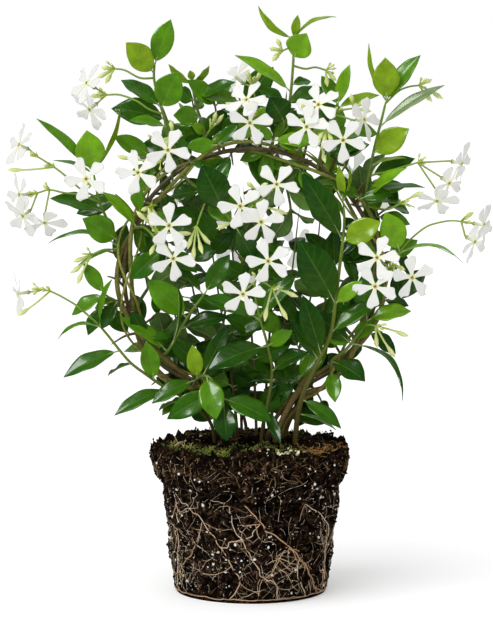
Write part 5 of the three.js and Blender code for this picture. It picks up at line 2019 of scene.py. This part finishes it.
def plug(node: bpy.types.Node, inputs: dict) -> None:
    """Sets a node's inputs.

    Args:
        node: the node.
        inputs: for a socket's name or number, a value, an output, or a node whose first live output is meant.
    """
    for name, value in inputs.items():
        if isinstance(value, bpy.types.Node):
            value = next(output for output in value.outputs if output.enabled)
        if isinstance(value, bpy.types.NodeSocket):
            node.id_data.links.new(value, node.inputs[name])
        else:
            node.inputs[name].default_value = value


def add_node(tree: bpy.types.NodeTree, kind: str, inputs: dict | None = None, **settings) -> bpy.types.Node:
    """Adds a node with its settings, its values and its links.

    Args:
        tree: the node tree that takes it.
        kind: the node's type, without the ShaderNode that each begins with.
        inputs: what its sockets are set to.
        settings: the node's own properties.

    Returns:
        The node.
    """
    node = tree.nodes.new("ShaderNode" + kind)
    for name, value in settings.items():
        setattr(node, name, value)
    plug(node, inputs or {})
    return node


def start_finish(name: str, values: dict) -> tuple[Material, Callable[..., bpy.types.Node], bpy.types.Node]:
    """Starts a material.

    Args:
        name: what it is.
        values: the shader's constant sockets.

    Returns:
        The material, what adds a node to its tree, and its shader.
    """
    material = bpy.data.materials.new(name)
    material.use_nodes = True
    tree = material.node_tree
    shader = next(node for node in tree.nodes if node.type == "BSDF_PRINCIPLED")
    plug(shader, values)
    return material, partial(add_node, tree), shader


@dataclass(frozen=True)
class LeafFinish:
    """A leathery evergreen leaf: a waxy cuticle that mirrors the light softly over a net of paler veins."""

    name: str
    vein: str
    veins_show: float
    roughness: float
    coat: float
    wash: str = "#ffffff"
    wash_share: float = 0.0
    vein_pairs: float = 8.0
    vein_slant: float = -1.7
    mottle_mm: float = 7.0
    vein_depth_mm: float = 0.35
    dent_mm: float = 1.2

    def make(self) -> Material:
        """Makes the material: the tint of each leaf, mottled, with a pale midrib and side veins.

        Returns:
            The material.
        """
        material, add, shader = start_finish(self.name, {
            "Roughness": self.roughness, "IOR": 1.45, "Specular IOR Level": 0.1, "Coat Weight": self.coat,
            "Coat Roughness": 0.17,
        })
        spot = add("SeparateXYZ", {0: add("UVMap", uv_map="UVMap")})
        across = add("Math", {0: spot, 1: 2.0, 2: -1.0}, operation="MULTIPLY_ADD")
        edge = add("Math", {0: across}, operation="ABSOLUTE")
        rise = add("Math", {0: edge, 1: self.vein_slant}, operation="MULTIPLY")
        run = add("Math", {0: spot.outputs[1], 1: self.vein_pairs, 2: rise}, operation="MULTIPLY_ADD")
        fold = add("Math", {0: run, 1: 0.5}, operation="PINGPONG")
        side_vein = add("MapRange", {0: fold, 1: 0.02, 2: 0.14, 3: 0.28, 4: 0.0},
                        interpolation_type="SMOOTHSTEP")
        midrib = add("MapRange", {0: edge, 1: 0.02, 2: 0.07, 3: 1.0, 4: 0.0}, interpolation_type="SMOOTHSTEP")
        veins = add("Math", {0: side_vein, 1: midrib}, operation="MAXIMUM")
        share = add("Math", {0: veins, 1: self.veins_show}, operation="MULTIPLY")
        place = add("TexCoord").outputs["Object"]
        mottle = add("TexNoise", {"Vector": place, "Scale": 1 / (self.mottle_mm * MM), "Detail": 3.0})
        level = add("MapRange", {0: mottle, 1: 0.3, 2: 0.7, 3: 0.78, 4: 1.18})
        tint = add("Attribute", attribute_name="tint")
        washed = add("Mix", {0: self.wash_share, 6: tint, 7: linear(self.wash)}, data_type="RGBA")
        mottled = add("VectorMath", {0: washed, 3: level}, operation="SCALE")
        green = add("Mix", {0: share, 6: mottled, 7: linear(self.vein)}, data_type="RGBA")
        dents = add("Bump", {"Height": mottle, "Strength": 0.6, "Distance": self.dent_mm * MM})
        bump = add("Bump", {
            "Height": veins, "Strength": 0.5, "Distance": self.vein_depth_mm * MM, "Normal": dents,
        }, invert=True)
        plug(shader, {"Base Color": green, "Normal": bump})
        return material


@dataclass(frozen=True)
class PetalFinish:
    """A soft white petal: velvety with fine lengthwise creases in painted shade, greenish yellow at its
    narrow foot, giving off painted light.
    """

    name: str
    body: str = "#dcdcd7"
    foot: str = "#dfe2a2"
    # the grey that the creases take: painted shade
    painted_crease_shade: str = "#d6d8cd"
    crease_count: float = 14.0
    crease_mm: float = 0.15
    # painted light: an emission that stands in for light shining through the petal
    painted_glow: float = 0.09

    def make(self) -> Material:
        """Makes the material from the petal's own lengthwise and crosswise places.

        Returns:
            The material.
        """
        material, add, shader = start_finish(self.name, {
            "Roughness": 0.6, "IOR": 1.4, "Sheen Weight": 0.12,
            "Emission Color": WHITE, "Emission Strength": self.painted_glow,
        })
        spot = add("SeparateXYZ", {0: add("UVMap", uv_map="UVMap")})
        creases = add("Math", {0: spot, 1: self.crease_count}, operation="MULTIPLY")
        wave = add("Math", {0: creases, 1: 0.5}, operation="PINGPONG")
        # painted shade: the petal greys along its creases, where the bump dips
        soft = add("MapRange", {0: wave, 1: 0.0, 2: 0.3, 3: 0.45, 4: 0.0})
        crease_shaded = add("Mix", {0: soft, 6: linear(self.body), 7: linear(self.painted_crease_shade)}, data_type="RGBA")
        near = add("MapRange", {0: spot.outputs[1], 1: 0.02, 2: 0.3, 3: 0.85, 4: 0.0},
                   interpolation_type="SMOOTHSTEP")
        colour = add("Mix", {0: near, 6: crease_shaded, 7: linear(self.foot)}, data_type="RGBA")
        # the tint carries the painted shade that greys the blooms at the far left
        tint = add("Attribute", attribute_name="tint")
        shaded = add("VectorMath", {0: colour, 1: tint}, operation="MULTIPLY")
        bump = add("Bump", {"Height": wave, "Strength": 0.25, "Distance": self.crease_mm * MM})
        plug(shader, {"Base Color": shaded, "Normal": bump})
        return material


@dataclass(frozen=True)
class GrownFinish:
    """Any grown skin coloured by its tint, such as bark, a green stalk, a bud or a root, flecked finely."""

    name: str
    roughness: float
    fleck_mm: float
    dark: float
    light: float
    bump_mm: float
    coat: float = 0.0

    def make(self) -> Material:
        """Makes the material: the tint, darker and lighter in flecks that also stand out a little.

        Returns:
            The material.
        """
        material, add, shader = start_finish(self.name, {
            "Roughness": self.roughness, "IOR": 1.45, "Specular IOR Level": 0.2, "Coat Weight": self.coat,
            "Coat Roughness": 0.3,
        })
        place = add("TexCoord").outputs["Object"]
        flecks = add("TexNoise", {
            "Vector": place, "Scale": 1 / (self.fleck_mm * MM), "Detail": 4.0, "Roughness": 0.6,
        })
        level = add("MapRange", {0: flecks, 1: 0.3, 2: 0.7, 3: self.dark, 4: self.light})
        tint = add("Attribute", attribute_name="tint")
        colour = add("VectorMath", {0: tint, 3: level}, operation="SCALE")
        bump = add("Bump", {"Height": flecks, "Strength": 0.6, "Distance": self.bump_mm * MM})
        plug(shader, {"Base Color": colour, "Normal": bump})
        return material


@dataclass(frozen=True)
class SoilFinish:
    """Moist peat potting soil: nearly black, matt, with browner crumbs and fibres."""

    name: str = "moist_peat_soil"
    deep: str = "#090401"
    body: str = "#22150c"
    dry: str = "#67503c"
    crumb_mm: float = 2.2
    patch_mm: float = 9.0
    bump_mm: float = 1.2

    def make(self) -> Material:
        """Makes the material: crumbs of a few millimetres over wider damp and dry patches.

        Returns:
            The material.
        """
        material, add, shader = start_finish(self.name, {
            "Roughness": 0.95, "IOR": 1.35, "Specular IOR Level": 0.1,
        })
        place = add("TexCoord").outputs["Object"]
        crumbs = add("TexNoise", {
            "Vector": place, "Scale": 1 / (self.crumb_mm * MM), "Detail": 6.0, "Roughness": 0.7,
        })
        patches = add("TexNoise", {"Vector": place, "Scale": 1 / (self.patch_mm * MM), "Detail": 2.0})
        mixed = add("Mix", {0: 0.3, 2: crumbs, 3: patches})
        ramp = add("ValToRGB", {0: mixed})
        stops = ramp.color_ramp.elements
        stops[0].position, stops[0].color = 0.4, linear(self.deep)
        stops[1].position, stops[1].color = 0.66, linear(self.dry)
        stops.new(0.53).color = linear(self.body)
        # the tint holds the plug's painted shade and light, and the loose crumbs' own random levels
        tint = add("Attribute", attribute_name="tint")
        shaded = add("VectorMath", {0: ramp, 1: tint}, operation="MULTIPLY")
        bump = add("Bump", {"Height": crumbs, "Strength": 0.9, "Distance": self.bump_mm * MM})
        plug(shader, {"Base Color": shaded, "Normal": bump})
        return material


@dataclass(frozen=True)
class WireFinish:
    """Steel wire in an olive-brown plastic coat: smooth, with a soft gloss and slight scuffs."""

    name: str = "plastic_coated_wire"
    coat_colour: str = "#4e4224"
    scuffed: str = "#776239"
    scuff_mm: float = 5.0

    def make(self) -> Material:
        """Makes the material: olive brown with paler scuffs.

        Returns:
            The material.
        """
        material, add, shader = start_finish(self.name, {"Roughness": 0.42, "IOR": 1.46})
        place = add("TexCoord").outputs["Object"]
        scuffs = add("TexNoise", {"Vector": place, "Scale": 1 / (self.scuff_mm * MM), "Detail": 5.0})
        share = add("MapRange", {0: scuffs, 1: 0.5, 2: 0.75, 3: 0.0, 4: 1.0})
        colour = add("Mix", {0: share, 6: linear(self.coat_colour), 7: linear(self.scuffed)},
                     data_type="RGBA")
        plug(shader, {"Base Color": colour})
        return material


# --- camera, floor and light


@dataclass(frozen=True)
class Studio:
    """A white table in soft light from the upper left, and a camera a little above the soil."""

    camera_place: Point = (-3.0, -2000.0, 410.0)
    pitch_down: float = 6.33
    focal_px: float = 3000.0
    long_side_px: float = 625.0
    sensor_mm: float = 36.0
    floor_mm: float = 6000.0
    floor_glow: float = 0.25
    sky_low: float = 0.08
    sky_high: float = 0.85
    sky_mirrored: float = 0.05
    brightest: Point = (-0.3, -0.2, 0.93)
    key_side: Point = (-9, -8, 14)

    def camera(self) -> None:
        """Sets the camera up."""
        data = bpy.data.cameras.new("camera")
        data.sensor_width = self.sensor_mm
        data.lens = self.focal_px * self.sensor_mm / self.long_side_px
        data.clip_end = 50.0
        camera = bpy.data.objects.new("camera", data)
        camera.location = Vector(self.camera_place) * MM
        camera.rotation_euler = (math.radians(90 - self.pitch_down), 0, 0)
        bpy.context.scene.collection.objects.link(camera)
        bpy.context.scene.camera = camera

    def floor(self) -> None:
        """Lays a plain white table, lit a little from below so that its shadows stay faint."""
        bm = bmesh.new()
        bmesh.ops.create_grid(bm, x_segments=1, y_segments=1, size=self.floor_mm * MM)
        mesh = bpy.data.meshes.new("table")
        bm.to_mesh(mesh)
        bm.free()
        # a plain matt white that keeps only soft shadows
        mesh.materials.append(start_finish("white_table", {
            "Base Color": linear("#e7e7e7"), "Roughness": 0.9, "Specular IOR Level": 0.1,
            "Emission Color": WHITE, "Emission Strength": self.floor_glow,
        })[0])
        floor = bpy.data.objects.new("table", mesh)
        bpy.context.scene.collection.objects.link(floor)
        floor.visible_glossy = False

    def lamp(self, name: str, place: Point, softness: float, strength: float, lights: bool = True,
             glints: bool = True) -> None:
        """Hangs a soft distant light that looks at the plant's middle.

        Args:
            name: its name.
            place: the side it shines from.
            softness: the angle it fills in the sky, in degrees.
            strength: its strength.
            lights: whether it lights what it falls on.
            glints: whether glossy skins mirror it.
        """
        data = bpy.data.lights.new(name, "SUN")
        data.angle = math.radians(softness)
        data.energy = strength
        lamp = bpy.data.objects.new(name, data)
        lamp.rotation_euler = (-Vector(place)).to_track_quat("-Z", "Y").to_euler()
        lamp.visible_diffuse = lights
        lamp.visible_glossy = glints
        bpy.context.scene.collection.objects.link(lamp)

    def light(self) -> None:
        """Lights the plant: an even white sky, a key from the upper left and weaker lights round it."""
        world = bpy.data.worlds.new("white_sky")
        bpy.context.scene.world = world
        world.use_nodes = True
        tree = world.node_tree
        sky = next(node for node in tree.nodes if node.type == "BACKGROUND")
        spot = add_node(tree, "TexCoord").outputs["Generated"]
        towards = add_node(tree, "VectorMath", {0: spot, 1: self.brightest}, operation="DOT_PRODUCT")
        dome = add_node(tree, "MapRange", {0: towards, 1: -0.2, 2: 0.95, 3: self.sky_low, 4: self.sky_high},
                        interpolation_type="SMOOTHSTEP")
        rays = add_node(tree, "LightPath").outputs
        mirrored = add_node(tree, "Mix", {0: rays["Is Glossy Ray"], 2: dome, 3: self.sky_mirrored})
        strength = add_node(tree, "Mix", {0: rays["Is Camera Ray"], 2: mirrored, 3: 1.0})
        plug(sky, {"Color": WHITE, "Strength": strength})
        self.lamp("key", self.key_side, softness=58, strength=1.65, glints=False)
        self.lamp("glint", self.key_side, softness=26, strength=2.6, lights=False)
        self.lamp("fill", (12, -10, 6), softness=60, strength=0.16)
        self.lamp("back", (4, 12, 10), softness=60, strength=0.5)
        bpy.context.scene.view_settings.view_transform = "Standard"


# --- the whole


def main() -> None:
    """Builds the plant in order, from the soil up, and sets the studio up round it."""
    logging.basicConfig(level=logging.INFO, format="%(message)s")
    studio = Studio()
    studio.camera()
    studio.floor()
    studio.light()
    rng = Random(7)

    # the ball's matt, nearly black crumbs with browner dry patches
    soil = SoilFinish().make()
    # chalky white grains that sparkle out of the dark soil
    perlite = GrownFinish("expanded_perlite", 0.9, 0.9, 0.82, 1.05, 0.3).make()
    # dull straw, bark chips and moss that roughen the ball's outline
    fibre = GrownFinish("dry_fibre", 0.85, 1.0, 0.7, 1.2, 0.15).make()
    # pale tan threads netted over the soil
    root = GrownFinish("root_skin", 0.75, 1.6, 0.66, 1.2, 0.25).make()
    # the vines' brown to olive skin, blotched with darker cracks
    bark = GrownFinish("young_vine_bark", 0.7, 1.5, 0.55, 1.25, 0.4).make()
    # fresh green stems and leaf stalks with a faint gloss
    stalk = GrownFinish("green_stalk", 0.5, 2.5, 0.82, 1.15, 0.12, 0.15).make()
    # smooth buds that pale from green to cream
    bud = GrownFinish("furled_petal_bud", 0.55, 3.0, 0.9, 1.08, 0.08).make()
    # the flowers' greenish tubes and yellow throats
    tube = GrownFinish("petal_tube", 0.55, 2.0, 0.92, 1.06, 0.06).make()
    # deep green blades with a waxy gleam and yellower veins
    upper = LeafFinish("glossy_evergreen_leaf", "#86ad48", 0.15, 0.34, 0.5).make()
    # paler, greyer green without gloss where a leaf turns its back
    under = LeafFinish("matt_leaf_underside", "#a9c184", 0.4, 0.6, 0.0, "#7f9a5c", 0.4).make()
    # the bright velvety white that the eye goes to first, with faint painted light given off
    petal = PetalFinish("white_petal").make()
    # cream white with strong painted light, an emission that stands in for the light behind it shining
    # through
    petal_back = PetalFinish("white_petal_back", body="#dfe1d6", foot="#d3d99a", painted_glow=0.45).make()
    # the hoop's smooth olive-brown line between the vines
    wire = WireFinish().make()

    SOIL.build(soil)
    SoilLitter(rng).build([soil, perlite, fibre])
    RootNet(rng).build(root)
    HOOP.build(wire)
    for vine in VINES:
        vine.build(bark)
    build_runners(bark)
    for cluster in bloom_clusters():
        cluster.build([petal, petal_back, tube], rng)
    for name, plan in SHOOTS.items():
        LeafyShoot(name, plan, rng).build([upper, under, stalk, bud])
    build_bud_tufts([upper, under, stalk, bud], rng)
    InnerFoliage(rng).build([upper, under, stalk])


if __name__ == "__main__":
    main()
